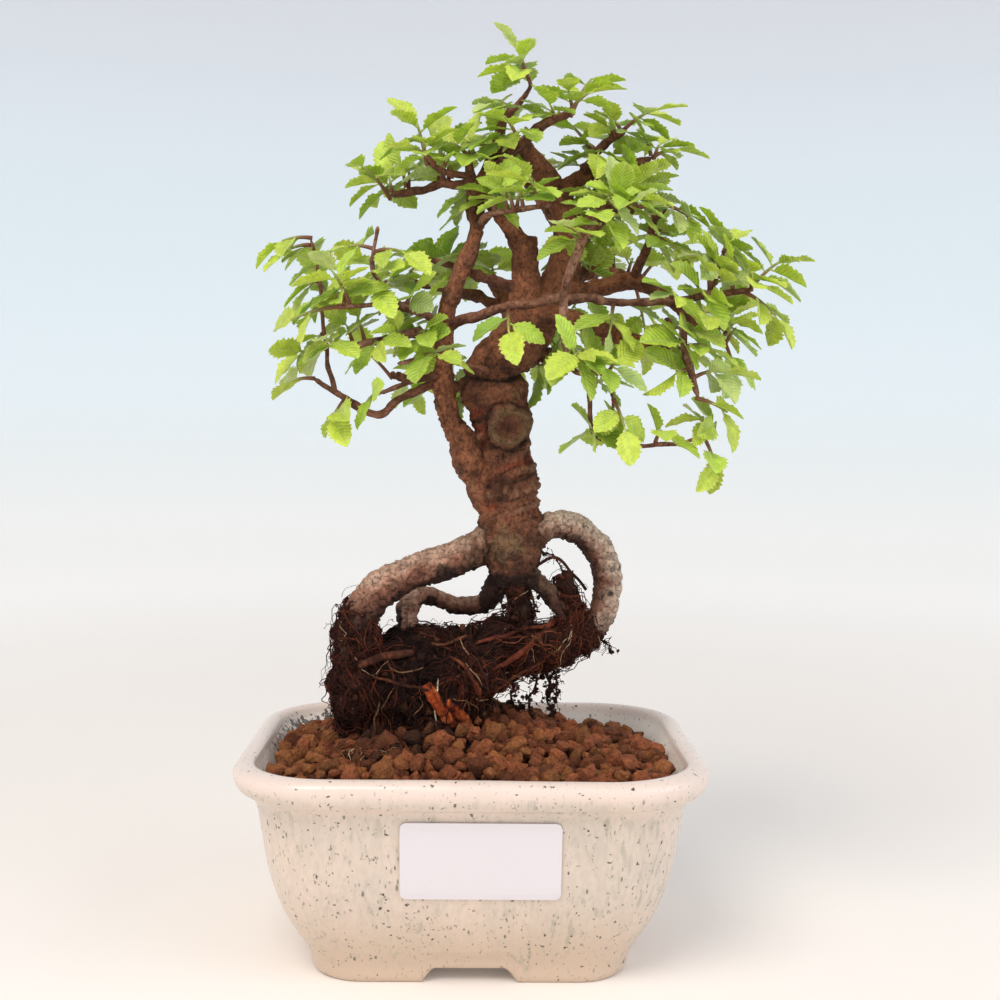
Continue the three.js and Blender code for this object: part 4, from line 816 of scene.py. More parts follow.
class BonsaiStageSettings(bpy.types.PropertyGroup):
    key: bpy.props.FloatProperty(
        name="Key light", description="Power of the soft key light", default=10.5, min=0, subtype="POWER")
    fill: bpy.props.FloatProperty(
        name="Fill light", description="Power of the soft fill light", default=4, min=0, subtype="POWER")
    sky: bpy.props.FloatProperty(name="Sky", description="Strength of the light all round", default=0.42, min=0)
    focal_length: bpy.props.FloatProperty(
        name="Focal length", description="Focal length of the camera, in millimetres", default=48.6, min=10,
        subtype="DISTANCE_CAMERA")


# Materials


def ground_bark():
    """Living elm bark: dry, matt and flaky, brown with thin dark cracks between scales of about 2 mm.

    The piece's paint gives the tone of each place, and its grain coordinate in mm carries the pattern."""
    material, tree, shader = new_material("elm_bark", Roughness=0.8, Specular_IOR_Level=0.32)
    paint = add_node(tree, "Attribute", attribute_name="paint")
    grown = add_node(tree, "Attribute", attribute_name="grown")
    # Patches about 3 mm across lighten and darken the ground
    patches = add_node(tree, "TexNoise", {
        "Vector": grown.outputs["Vector"], "Scale": 0.42, "Detail": 9, "Roughness": 0.72, "Distortion": 0.6})
    light = add_node(tree, "MapRange", {0: patches, 1: 0.32, 2: 0.7, 3: 0.66, 4: 1.36})
    ground = add_node(tree, "Mix", {
        0: 1.0, 6: paint, 7: light}, blend_type="MULTIPLY")
    # Scales: the borders of cells, pushed about by noise so that no cell is regular
    push = add_node(tree, "TexNoise", {"Vector": grown.outputs["Vector"], "Scale": 0.9, "Detail": 4})
    moved = add_node(tree, "VectorMath", {0: push.outputs["Color"], 1: (2.2, 2.2, 2.2),
        2: grown.outputs["Vector"]}, operation="MULTIPLY_ADD")
    long_way = add_node(tree, "Mapping", {0: moved, "Scale": (1, 1, 0.62)})
    scales = add_node(tree, "TexVoronoi", {"Vector": long_way, "Scale": 0.62},
        feature="DISTANCE_TO_EDGE")
    crack = add_node(tree, "MapRange", {0: scales, 1: 0.0, 2: 0.12, 3: 1, 4: 0},
        interpolation_type="SMOOTHSTEP")
    broken = add_node(tree, "MapRange", {0: push, 1: 0.42, 2: 0.6, 3: 0, 4: 0.7})
    cracks = add_node(tree, "Math", {0: crack, 1: broken}, operation="MULTIPLY")
    cracked = add_node(tree, "Mix", {
        0: cracks, 6: ground, 7: tint("#84695c")}, blend_type="MULTIPLY")
    # Flakes under 1 mm catch the light
    flakes = add_node(tree, "TexNoise", {
        "Vector": grown.outputs["Vector"], "Scale": 1.9, "Detail": 6, "Roughness": 0.7})
    bright = add_node(tree, "MapRange", {0: flakes, 1: 0.54, 2: 0.74, 3: 0, 4: 0.42})
    flaked = add_node(tree, "Mix", {
        0: bright, 6: cracked, 7: tint("#a88670")})
    plug(tree, shader, {"Base Color": flaked})
    height = add_node(tree, "Math", {
        0: cracks, 1: -0.6, 2: patches}, operation="MULTIPLY_ADD")
    rough = add_node(tree, "Math", {
        0: flakes, 1: 0.5, 2: height}, operation="MULTIPLY_ADD")
    bump = add_node(tree, "Bump", {"Strength": 0.9, "Distance": 0.0011, "Height": rough})
    plug(tree, shader, {"Normal": bump})
    return material


def root_fibre():
    """Fine roots and old peat: nearly black, dry and fibrous, with brown and tan threads."""
    material, tree, shader = new_material("root_fibre", Roughness=0.9, Specular_IOR_Level=0.22)
    paint = add_node(tree, "Attribute", attribute_name="paint")
    grown = add_node(tree, "Attribute", attribute_name="grown")
    place = add_node(tree, "TexCoord")
    crumbs = add_node(tree, "TexNoise", {
        "Vector": place.outputs["Object"], "Scale": 900, "Detail": 5, "Roughness": 0.7})
    along = add_node(tree, "TexNoise", {"Vector": grown.outputs["Vector"], "Scale": 0.8, "Detail": 3})
    light = add_node(tree, "MapRange", {0: crumbs, 1: 0.3, 2: 0.75, 3: 0.45, 4: 1.5})
    lengthwise = add_node(tree, "MapRange", {0: along, 1: 0.3, 2: 0.7, 3: 0.7, 4: 1.2})
    both = add_node(tree, "Math", {0: light, 1: lengthwise}, operation="MULTIPLY")
    colour = add_node(tree, "Mix", {
        0: 1.0, 6: paint, 7: both}, blend_type="MULTIPLY")
    plug(tree, shader, {"Base Color": colour})
    bump = add_node(tree, "Bump", {"Strength": 0.9, "Distance": 0.0008, "Height": crumbs})
    plug(tree, shader, {"Normal": bump})
    return material


def fired_clay():
    """Fired clay granules: rough, porous, rust brown, each of its own tone, with a painted shade under each granule
    from their paint.
    """
    material, tree, shader = new_material("fired_clay", Roughness=0.93, Specular_IOR_Level=0.3)
    paint = add_node(tree, "Attribute", attribute_name="paint")
    place = add_node(tree, "TexCoord")
    # Pores under 1 mm, and patches of about 2.4 mm
    pores = add_node(tree, "TexNoise", {
        "Vector": place.outputs["Object"], "Scale": 1100, "Detail": 6, "Roughness": 0.75})
    patches = add_node(tree, "TexNoise", {"Vector": place.outputs["Object"], "Scale": 420, "Detail": 3})
    light = add_node(tree, "MapRange", {0: pores, 1: 0.3, 2: 0.72, 3: 0.4, 4: 1.55})
    patch = add_node(tree, "MapRange", {0: patches, 1: 0.3, 2: 0.7, 3: 0.75, 4: 1.2})
    both = add_node(tree, "Math", {0: light, 1: patch}, operation="MULTIPLY")
    colour = add_node(tree, "Mix", {
        0: 1.0, 6: paint, 7: both}, blend_type="MULTIPLY")
    plug(tree, shader, {"Base Color": colour})
    height = add_node(tree, "Math", {
        0: patches, 1: 1.5, 2: pores}, operation="MULTIPLY_ADD")
    bump = add_node(tree, "Bump", {"Strength": 1, "Distance": 0.0016, "Height": height})
    plug(tree, shader, {"Normal": bump})
    return material


def elm_leaf():
    """Elm leaf: thin, satin, yellow green to deep green, with a pale rib and side veins that meet its teeth.

    Its grain coordinate is the place along the rib, across the blade and a number of its own."""
    material, tree, shader = new_material(
        "elm_leaf", Roughness=0.42, Subsurface_Weight=0.35, Subsurface_Radius=(0.6, 1.0, 0.25),
        Subsurface_Scale=0.0007, Specular_IOR_Level=0.42)
    paint = add_node(tree, "Attribute", attribute_name="paint")
    grown = add_node(tree, "Attribute", attribute_name="grown")
    parts = add_node(tree, "SeparateXYZ", {0: grown.outputs["Vector"]})
    side = add_node(tree, "Math", {0: parts.outputs["Y"]}, operation="ABSOLUTE")
    # Side veins: eight along the rib, slanting forwards by a third of a blade at the edge
    slant = add_node(tree, "Math", {
        0: side, 1: -0.28, 2: parts.outputs["X"]}, operation="MULTIPLY_ADD")
    phase = add_node(tree, "Math", {0: slant, 1: 8.5 * 2 * np.pi}, operation="MULTIPLY")
    wave = add_node(tree, "Math", {0: phase}, operation="COSINE")
    veins = add_node(tree, "MapRange", {0: wave, 1: 0.72, 2: 1, 3: 0, 4: 1},
        interpolation_type="SMOOTHSTEP")
    rib = add_node(tree, "MapRange", {0: side, 1: 0.02, 2: 0.09, 3: 1, 4: 0},
        interpolation_type="SMOOTHSTEP")
    both = add_node(tree, "Math", {0: veins, 1: 0.45}, operation="MULTIPLY")
    lines = add_node(tree, "Math", {0: both, 1: rib}, operation="MAXIMUM")
    spots = add_node(tree, "Mapping", {0: grown.outputs["Vector"], "Scale": (5, 2.5, 7)})
    blotches = add_node(tree, "TexNoise", {"Vector": spots, "Scale": 1, "Detail": 4})
    light = add_node(tree, "MapRange", {0: blotches, 1: 0.3, 2: 0.7, 3: 0.82, 4: 1.14})
    ground = add_node(tree, "Mix", {
        0: 1.0, 6: paint, 7: light}, blend_type="MULTIPLY")
    share = add_node(tree, "Math", {0: lines, 1: 0.34}, operation="MULTIPLY")
    colour = add_node(tree, "Mix", {
        0: share, 6: ground, 7: tint("#dfe8a0")})
    plug(tree, shader, {"Base Color": colour})
    # The veins lie in grooves, and the blade swells between them
    height = add_node(tree, "Math", {0: lines, 1: -1}, operation="MULTIPLY")
    swell = add_node(tree, "Math", {0: wave, 1: -0.35, 2: height},
        operation="MULTIPLY_ADD")
    bump = add_node(tree, "Bump", {"Strength": 0.55, "Distance": 0.00035, "Height": swell})
    plug(tree, shader, {"Normal": bump})
    return material


def green_stem():
    """Young elm stem: smooth, satin, green at the tip and reddish brown where it turns woody."""
    material, tree, shader = new_material("green_stem", Roughness=0.5)
    paint = add_node(tree, "Attribute", attribute_name="paint")
    grown = add_node(tree, "Attribute", attribute_name="grown")
    bands = add_node(tree, "TexNoise", {"Vector": grown.outputs["Vector"], "Scale": 1.2, "Detail": 3})
    light = add_node(tree, "MapRange", {0: bands, 1: 0.3, 2: 0.7, 3: 0.8, 4: 1.15})
    colour = add_node(tree, "Mix", {
        0: 1.0, 6: paint, 7: light}, blend_type="MULTIPLY")
    plug(tree, shader, {"Base Color": colour})
    bump = add_node(tree, "Bump", {"Strength": 0.4, "Distance": 0.0002, "Height": bands})
    plug(tree, shader, {"Normal": bump})
    return material


def stoneware_glaze(settings):
    """Glazed stoneware: a satin cream glaze with cloudy greys, iron specks and short runs down the walls.

    The glaze is thin and warm over the lip, the shoulder and the feet; the inner wall is painted near white, a painted
    light."""
    material, tree, shader = new_material("stoneware_glaze", Roughness=0.36, Coat_Weight=0.35, Coat_Roughness=0.18, Specular_IOR_Level=0.45)
    place = add_node(tree, "TexCoord")
    paint = add_node(tree, "Attribute", attribute_name="paint")
    # Clouds about 25 mm across, drawn out down the wall
    runs = add_node(tree, "Mapping", {0: place.outputs["Object"], "Scale": (1, 1, 0.45)})
    clouds = add_node(tree, "TexNoise", {"Vector": runs, "Scale": 38, "Detail": 5, "Roughness": 0.6})
    cloudy = add_node(tree, "MapRange", {0: clouds, 1: 0.36, 2: 0.66, 3: 0, 4: 0.75})
    cream = add_node(tree, "Mix", {
        0: cloudy, 6: tuple(settings.glaze), 7: tint("#cabfb0")})
    # Fine mottling under 1 mm
    mottle = add_node(tree, "TexNoise", {"Vector": runs, "Scale": 700, "Detail": 3})
    mottled = add_node(tree, "MapRange", {0: mottle, 1: 0.3, 2: 0.7, 3: 0.93, 4: 1.05})
    ground = add_node(tree, "Mix", {
        0: 1.0, 6: cream, 7: mottled}, blend_type="MULTIPLY")
    # The red channel of the piece's colour says how thin the glaze is
    thin = add_node(tree, "SeparateColor", {0: paint})
    warm = add_node(tree, "Mix", {
        0: thin, 6: ground, 7: tuple(settings.thin_glaze)})
    # Inside the pot the wall is painted near white: painted light that keeps the shaded inner wall as light as the
    # outside
    inside = add_node(tree, "MapRange", {0: thin, 1: 0.9, 2: 1, 3: 0, 4: 0.85})
    pale = add_node(tree, "Mix", {
        0: inside, 6: warm, 7: tint("#fff2e6")})
    # Lower down the outer wall is painted darker and browner: the green channel says how low
    lowered = add_node(tree, "Mix", {
        0: thin.outputs[1], 6: pale, 7: tint("#cfb79f")})
    # Soft grey-green runs about 1.5 mm wide, drawn out down the wall, in some of the clouds
    streaks = add_node(tree, "Mapping", {0: place.outputs["Object"], "Scale": (1, 1, 0.2)})
    run = add_node(tree, "TexNoise", {"Vector": streaks, "Scale": 420, "Detail": 3})
    drawn = add_node(tree, "MapRange", {0: run, 1: 0.54, 2: 0.7, 3: 0, 4: 0.75},
        interpolation_type="SMOOTHSTEP")
    few = add_node(tree, "MapRange", {0: clouds, 1: 0.42, 2: 0.6, 3: 0.12, 4: 1})
    shown = add_node(tree, "Math", {0: drawn, 1: few}, operation="MULTIPLY")
    bare = add_node(tree, "MapRange", {0: thin, 1: 0, 2: 0.8, 3: 1, 4: 0.1})
    runs_share = add_node(tree, "Math", {0: shown, 1: bare}, operation="MULTIPLY")
    streaked = add_node(tree, "Mix", {
        0: runs_share, 6: lowered, 7: tint("#a3a090")})
    # Iron specks: cells about 4.3, 2.4 and 1.3 mm apart, drawn out to short runs, kept by a random draw
    colour = streaked
    long_cells = add_node(tree, "Mapping", {0: place.outputs["Object"], "Scale": (1, 1, 0.34)})
    # Fewer specks where the glaze is thin
    cover = add_node(tree, "MapRange", {0: thin, 1: 0, 2: 1, 3: 1, 4: 0.35})
    for scale, chance, size, strength in ((230, 0.35, 0.13, 1.0), (420, 0.4, 0.19, 0.9), (800, 0.45, 0.28, 0.7)):
        cell = add_node(tree, "TexVoronoi", {"Vector": long_cells, "Scale": scale})
        dot = add_node(tree, "MapRange", {0: cell, 1: size * 0.45, 2: size, 3: 1, 4: 0},
            interpolation_type="SMOOTHSTEP")
        chosen = add_node(tree, "SeparateColor", {0: cell.outputs["Color"]})
        kept = add_node(tree, "Math", {0: chosen, 1: chance}, operation="GREATER_THAN")
        less = add_node(tree, "Math", {0: chosen.outputs[1], 1: strength}, operation="MULTIPLY")
        dark = add_node(tree, "Math", {0: dot, 1: kept}, operation="MULTIPLY")
        amount = add_node(tree, "Math", {0: dark, 1: less}, operation="MULTIPLY")
        final = add_node(tree, "Math", {0: amount, 1: cover}, operation="MULTIPLY")
        colour = add_node(tree, "Mix", {0: final, 6: colour, 7: tuple(settings.speck)})
    # Splashed peat on the wall inside: the blue channel says how much
    splash = add_node(tree, "TexNoise", {"Vector": place.outputs["Object"], "Scale": 620, "Detail": 5})
    wet = add_node(tree, "Math", {0: thin.outputs[2], 1: 0.22, 2: splash}, operation="MULTIPLY_ADD")
    dirty = add_node(tree, "MapRange", {0: wet, 1: 0.64, 2: 0.7, 3: 0, 4: 0.9})
    soiled = add_node(tree, "Mix", {
        0: dirty, 6: colour, 7: tint("#2c211a")})
    plug(tree, shader, {"Base Color": soiled})
    waves = add_node(tree, "TexNoise", {"Vector": place.outputs["Object"], "Scale": 90, "Detail": 3})
    height = add_node(tree, "Math", {0: mottle, 1: 0.12, 2: waves}, operation="MULTIPLY_ADD")
    bump = add_node(tree, "Bump", {"Strength": 0.25, "Distance": 0.0008, "Height": height})
    plug(tree, shader, {"Normal": bump})
    return material


def label_paper(colour):
    """Coated label paper: smooth, white with a hint of pink, faintly fibrous and satin."""
    material, tree, shader = new_material("label_paper", Roughness=0.5, Coat_Weight=0.15, Coat_Roughness=0.3)
    place = add_node(tree, "TexCoord")
    fibres = add_node(tree, "TexNoise", {"Vector": place.outputs["Object"], "Scale": 1600, "Detail": 4})
    light = add_node(tree, "MapRange", {0: fibres, 1: 0.3, 2: 0.7, 3: 0.975, 4: 1.0})
    white = add_node(tree, "Mix", {
        0: 1.0, 6: tuple(colour), 7: light}, blend_type="MULTIPLY")
    plug(tree, shader, {"Base Color": white})
    bump = add_node(tree, "Bump", {"Strength": 0.08, "Distance": 0.0001, "Height": fibres})
    plug(tree, shader, {"Normal": bump})
    return material


def screen_plastic():
    """Moulded black polyethylene of the drain screens: matt, with a fine moulded grain."""
    material, tree, shader = new_material("screen_polyethylene", Roughness=0.6)
    place = add_node(tree, "TexCoord")
    mould = add_node(tree, "TexNoise", {"Vector": place.outputs["Object"], "Scale": 2500, "Detail": 2})
    dark = add_node(tree, "ValToRGB", {0: mould}, stops=[
        (0.3, tint("#262928")), (0.7, tint("#353938"))])
    plug(tree, shader, {"Base Color": dark})
    bump = add_node(tree, "Bump", {"Strength": 0.2, "Distance": 0.0001, "Height": mould})
    plug(tree, shader, {"Normal": bump})
    return material


# Pot and label


def outer_inset(height):
    """The outer wall's inset at a height, straight between the profile's rows."""
    heights, insets = np.array(OUTER_PROFILE, float).T
    return np.interp(height, heights, insets)


def pot_ring(taper, wall, steps):
    """x and y of the pot's rounded rectangle: half sizes less taper and wall, a corner arc of steps, and
    stations on each straight side where a notch between two feet begins, slopes and ends."""
    taper, wall = np.asarray(taper, float)[..., None], np.asarray(wall, float)[..., None]
    half_x = RIM_HALF[0] - taper - wall
    half_y = RIM_HALF[1] - taper * DEPTH_TAPER - wall
    corner = CORNERS[0] - (CORNERS[0] - CORNERS[1]) * taper / FOOT_INSET - wall * 0.6
    stations = np.array([place for place, _ in NOTCH])
    x, y = [], []
    for index, (sign_x, sign_y) in enumerate([(1, 1), (-1, 1), (-1, -1), (1, -1)]):
        turn = (index + np.arange(steps + 1) / steps) * np.pi / 2
        x.append(sign_x * (half_x - corner) + corner * np.cos(turn))
        y.append(sign_y * (half_y - corner) + corner * np.sin(turn))
        whole = np.broadcast_to(stations, taper.shape[:-1] + stations.shape)
        side = [(-whole, half_y + 0 * whole), (-half_x + 0 * whole, -whole), (whole, -half_y + 0 * whole),
            (half_x + 0 * whole, whole)][index]
        x.append(side[0])
        y.append(side[1])
    return np.concatenate(x, -1), np.concatenate(y, -1)


def notch_height(steps):
    """The height of the foot's underside at each point of a ring: 0 under the feet, raised in the notches."""
    raised = np.array([height for _, height in NOTCH], float)
    return np.concatenate([np.concatenate([np.zeros(steps + 1), raised]) for _ in range(4)])


def pot_shape(steps):
    """The pot as one grid: rings carried along a section that runs from under the floor, round the foot, up
    the outer wall, over the lip and down inside to the floor; low down the section starts at the notch."""
    rows = np.array([(height, inset, 0) for height, inset in OUTER_PROFILE] + LIP_PROFILE, float)
    height, inset, wall = rows.T
    section = smooth_rows(np.stack([inset + wall, height, 0 * height, height, wall], -1), 1.1)
    height, wall = section[:, 3], section[:, 4]
    taper = section[:, 0] - wall
    lift = notch_height(steps)
    x, y = pot_ring(taper, wall, steps)
    level = height[:, None]
    z = np.where(level < NOTCHED_BELOW, lift + level * (1 - lift / NOTCHED_BELOW), level)
    inner_wall = np.argmax(height) < np.arange(len(height))
    z = np.where(inner_wall[:, None], level, z)
    foot_taper = np.full(len(FOOT_WALLS), OUTER_PROFILE[0][1])
    foot_x, foot_y = pot_ring(foot_taper, FOOT_WALLS, steps)
    ceiling = FOOT_HEIGHT + 0.02
    foot_z = np.stack([np.full_like(lift, ceiling), np.full_like(lift, ceiling),
        np.minimum(lift + 0.4, ceiling - 0.01), lift, lift, lift + 0.02])
    x, y, z = np.concatenate([foot_x, x]), np.concatenate([foot_y, y]), np.concatenate([foot_z, z])
    # The thrown wall and lip wander by a fraction of a millimetre
    points = np.stack([x, y, z], -1)
    wander = grain(points, 34, 5) * 0.35 * step_between(points[..., 2], 8, 30)
    points[..., 2] += wander * step_between(points[..., 2], 60, 66)
    columns = z.shape[1]
    flat, faces = closed_rings(points, (0, 0, ceiling), (0, 0, FLOOR_HEIGHT))
    # How thin the glaze is: over the lip, at the shoulder below it, and round the feet
    level = flat[:, 2]
    thin = step_between(level, 60.5, 64) * 0.85 + (1 - step_between(level, 1, 8)) * 0.9
    thin += 0.5 * bell(level, 58.5, 1.6)
    thin += 0.25 * grain(flat, 14, 8) * step_between(thin, 0.1, 0.5)
    inside = np.concatenate([np.zeros(len(FOOT_WALLS) * columns), np.repeat(inner_wall, columns), [0, 1]]) > 0
    # Inside, the red channel is set near 1, which the glaze paints near white as painted light on the shaded wall
    thin = np.where(inside, 1 - 0.1 * step_between(level, 63.5, 67.2), np.minimum(thin, 0.9))
    low = (1 - step_between(level, 3, 34)) * 0.9 * ~inside
    splashed = bell(flat[:, 0], -58, 17) * (flat[:, 1] > 0) * inside
    splashed = splashed * (1 - step_between(level, 63.5, 67))
    return outward_faces(Shape(flat, faces, paint=np.clip(np.stack([thin, low, splashed], -1), 0, 1)))


def cut_holes(piece, places, radius, low, high):
    """Cuts round holes through a piece and leaves nothing of the cutters."""
    cutter_mesh = bpy.data.meshes.new("hole_cutter")
    shape = bmesh.new()
    for x, y in places:
        middle = Vector((np.array([x, y, (low + high) / 2]) + SHIFT) * MM)
        bmesh.ops.create_cone(shape, cap_ends=True, segments=28, radius1=radius * MM, radius2=radius * MM,
            depth=(high - low) * MM, matrix=Matrix.Translation(middle))
    shape.to_mesh(cutter_mesh)
    shape.free()
    cutter = bpy.data.objects.new("hole_cutter", cutter_mesh)
    bpy.context.scene.collection.objects.link(cutter)
    cut = piece.modifiers.new("holes", "BOOLEAN")
    cut.operation, cut.object, cut.solver = "DIFFERENCE", cutter, "EXACT"
    graph = bpy.context.evaluated_depsgraph_get()
    result = bpy.data.meshes.new_from_object(piece.evaluated_get(graph))
    piece.modifiers.clear()
    old = piece.data
    piece.data = result
    bpy.data.meshes.remove(old)
    result.name = piece.name
    bpy.data.objects.remove(cutter)
    bpy.data.meshes.remove(cutter_mesh)


def label_shape():
    """The label as rows of four points up the front wall; a row's reach is the half width less the corner's
    quarter circle, and its back stands a gap off the wall."""
    centre, half_width, bottom, top, corner, gap, thickness = LABEL
    edge = corner * (1 - np.cos(np.linspace(0, np.pi / 2, 9)))
    heights = np.concatenate([bottom + edge, np.linspace(bottom + corner, top - corner, 14)[1:-1], (top - edge)[::-1]])
    past = np.maximum(np.abs(heights - (bottom + top) / 2) - ((top - bottom) / 2 - corner), 0)
    reach = half_width - (corner - np.sqrt(np.maximum(corner**2 - past**2, 0)))
    wall = -(RIM_HALF[1] - outer_inset(heights) * DEPTH_TAPER) - gap
    points = np.stack([
        np.stack([centre - reach, wall, heights], -1), np.stack([centre - reach, wall - thickness, heights], -1),
        np.stack([centre + reach, wall - thickness, heights], -1), np.stack([centre + reach, wall, heights], -1),
    ], axis=1)
    rows = len(heights)
    ends = np.array([[0, 1, 2, 3], [4 * rows - 1, 4 * rows - 2, 4 * rows - 3, 4 * rows - 4]])
    return outward_faces(Shape(points.reshape(-1, 3), [cells(rows, 4), ends]))


class BONSAI_OT_pot(bpy.types.Operator):
    """Throws the glazed pot with its lip, feet, notches and drain holes, and sets its drain screens' plastic"""

    bl_idname = "bonsai.pot"
    bl_label = "Pot"

    def execute(self, context):
        settings = context.scene.bonsai_pot
        pot = add_piece("glazed_pot", pot_shape(settings.corner_steps), stoneware_glaze(settings), ("pot",))
        cut_holes(pot, DRAIN_HOLES, DRAIN_HOLE_RADIUS, 2, 12)
        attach(pot, "root")
        plastic = screen_plastic()
        for name in ("drain_screen_left", "drain_screen_right"):
            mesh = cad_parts[name].data
            mesh.materials.clear()
            mesh.materials.append(plastic)
        return {"FINISHED"}


class BONSAI_OT_label(bpy.types.Operator):
    """Sticks the blank paper label on the front wall"""

    bl_idname = "bonsai.label"
    bl_label = "Label"

    def execute(self, context):
        paper = label_paper(context.scene.bonsai_pot.label)
        add_piece("blank_label", label_shape(), paper, ("label",), smooth=False)
        return {"FINISHED"}


# Soil


def soil_height(x, y):
    """The mound: a bell round a point left of the middle, over an edge that falls a little to the back."""
    return SOIL_EDGE + SOIL_MOUND * np.exp(-(((x + 4) / 46) ** 2) - (y / 38) ** 2) - y * 0.03


def wall_distance(x, y):
    """How far inside the pot's inner wall a point lies: the signed distance to a rounded rectangle."""
    half_x, half_y, corner = INNER_WALL[0] - GAP, INNER_WALL[1] - GAP, INNER_WALL[2]
    reach_x, reach_y = np.abs(x) - (half_x - corner), np.abs(y) - (half_y - corner)
    outside = np.hypot(np.maximum(reach_x, 0), np.maximum(reach_y, 0)) + np.minimum(np.maximum(reach_x, reach_y), 0)
    return corner - outside


def soil_bed():
    """The soil under the granules: rings scaled from the middle out to the wall, then down it to the floor."""
    x, y = pot_ring(np.array([5.2]), np.array([5.8 + GAP]), 8)
    scale = np.linspace(0.04, 1, 26)[:, None]
    top = np.stack([x * scale, y * scale, soil_height(x * scale, y * scale) - 1.6], -1)
    top[..., 2] += grain(top, 4, 21) * 0.8
    sides = []
    for height, taper, wall in ((45, 10.3, 5.8), (30, 14.2, 5.8), (15, 19.7, 5.8), (SOIL_FLOOR, 22.4, 12.8)):
        ring_x, ring_y = pot_ring(np.array([taper]), np.array([wall + GAP]), 8)
        sides.append(np.stack([ring_x, ring_y, np.full_like(ring_x, height)], -1)[0])
    points = np.concatenate([top, np.array(sides)])
    flat, faces = closed_rings(points, (0, 0, soil_height(0, 0) - 1.6), (0, 0, SOIL_FLOOR))
    # The bed is painted a nearly black brown: dark soil that also stands as painted shade in the deep gaps between the
    # granules
    return outward_faces(Shape(flat, faces, paint=shade("#24130c")))


def granule_shapes(settings):
    """Clay granules on a jittered triangular lattice in two layers: each is a cube ball with a few dozen faces,
    scaled by its own three sizes, pushed in and out by lattice noise, cut flat on random sides and turned."""
    random = np.random.default_rng(31)
    pitch = settings.spacing
    places = []
    for layer, (step, lift) in enumerate(((pitch, -1.0), (pitch * 1.42, 1.3))):
        rows, columns = int(110 / step), int(140 / step)
        row, column = np.meshgrid(np.arange(rows), np.arange(columns), indexing="ij")
        x = (column - columns / 2 + 0.5 * (row % 2)) * step
        y = (row - rows / 2) * step * 0.87
        spots = np.stack([x, y], -1).reshape(-1, 2) + (random.random((rows * columns, 2)) - 0.5) * step * 0.7
        places.append(np.column_stack([spots, np.full(len(spots), lift)]))
    places = np.concatenate(places)
    size = settings.granule * (0.55 + 0.85 * random.random(len(places)) ** 1.3)
    size = np.where(random.random(len(places)) < 0.06, size * 1.3, size)
    inside = wall_distance(places[:, 0], places[:, 1]) > size * 0.44 + 0.2
    places, size = places[inside], size[inside]
    count = len(places)
    ball, faces = cube_ball(3)
    axes = unit(random.normal(size=(count, 4)))
    w, x, y, z = axes.T
    turn = np.stack([
        np.stack([1 - 2 * (y * y + z * z), 2 * (x * y - z * w), 2 * (x * z + y * w)], -1),
        np.stack([2 * (x * y + z * w), 1 - 2 * (x * x + z * z), 2 * (y * z - x * w)], -1),
        np.stack([2 * (x * z - y * w), 2 * (y * z + x * w), 1 - 2 * (x * x + y * y)], -1)], 1)
    own = ball[None] + random.random((count, 1, 3)) * 40
    body = ball[None] * (1.05 + 0.34 * grain(own, 0.8, 33) + 0.2 * grain(own, 0.42, 34))[..., None]
    for _ in range(6):
        cut = unit(random.normal(size=(count, 1, 3)))
        depth = 0.5 + 0.35 * random.random((count, 1))
        over = np.maximum(np.sum(body * cut, -1) - depth, 0)
        body = body - over[..., None] * cut
    body = body * (1 + 0.35 * (random.random((count, 1, 3)) - 0.5)) * size[:, None, None] / 2
    body = np.einsum("nij,npj->npi", turn, body)
    ground = soil_height(places[:, 0], places[:, 1]) + places[:, 2] + 0.16 * size
    middle = np.column_stack([places[:, 0], places[:, 1], ground])
    points = middle[:, None] + body
    tone = random.random(count)
    clay = np.array(settings.clay[:3])
    colours = blend(clay * 0.42, clay * 1.25, tone)
    colours = blend(colours, "#a86c3c", (random.random(count) < 0.33) * 0.6)
    # Old peat darkens the granules round the root mass
    near = np.exp(-(((middle[:, 0] + 24) / 23) ** 2) - ((middle[:, 1] + 20) / 22) ** 2)
    peaty = step_between(near + 0.3 * grain(middle, 9, 41), 0.4, 0.85)
    colours = blend(colours, "#2c1a13", peaty * (0.5 + 0.5 * random.random(count)))
    # Painted shade: each granule's underside is painted darker than its top
    underside_shade = 0.4 + 0.75 * step_between(body[..., 2] / size[:, None], -0.35, 0.3)
    paint = (colours[:, None] * underside_shade[..., None]).reshape(-1, 3)
    return Shape(points, [copies(faces, count, len(ball))], paint=paint)


class BONSAI_OT_soil(bpy.types.Operator):
    """Fills the pot with a bed of soil and covers it with loose clay granules"""

    bl_idname = "bonsai.soil"
    bl_label = "Soil"

    def execute(self, context):
        clay = fired_clay()
        add_piece("clay_granules", granule_shapes(context.scene.bonsai_soil), clay, ("soil",), smooth=False)
        add_piece("soil_bed", soil_bed(), clay)
        return {"FINISHED"}


# Wood


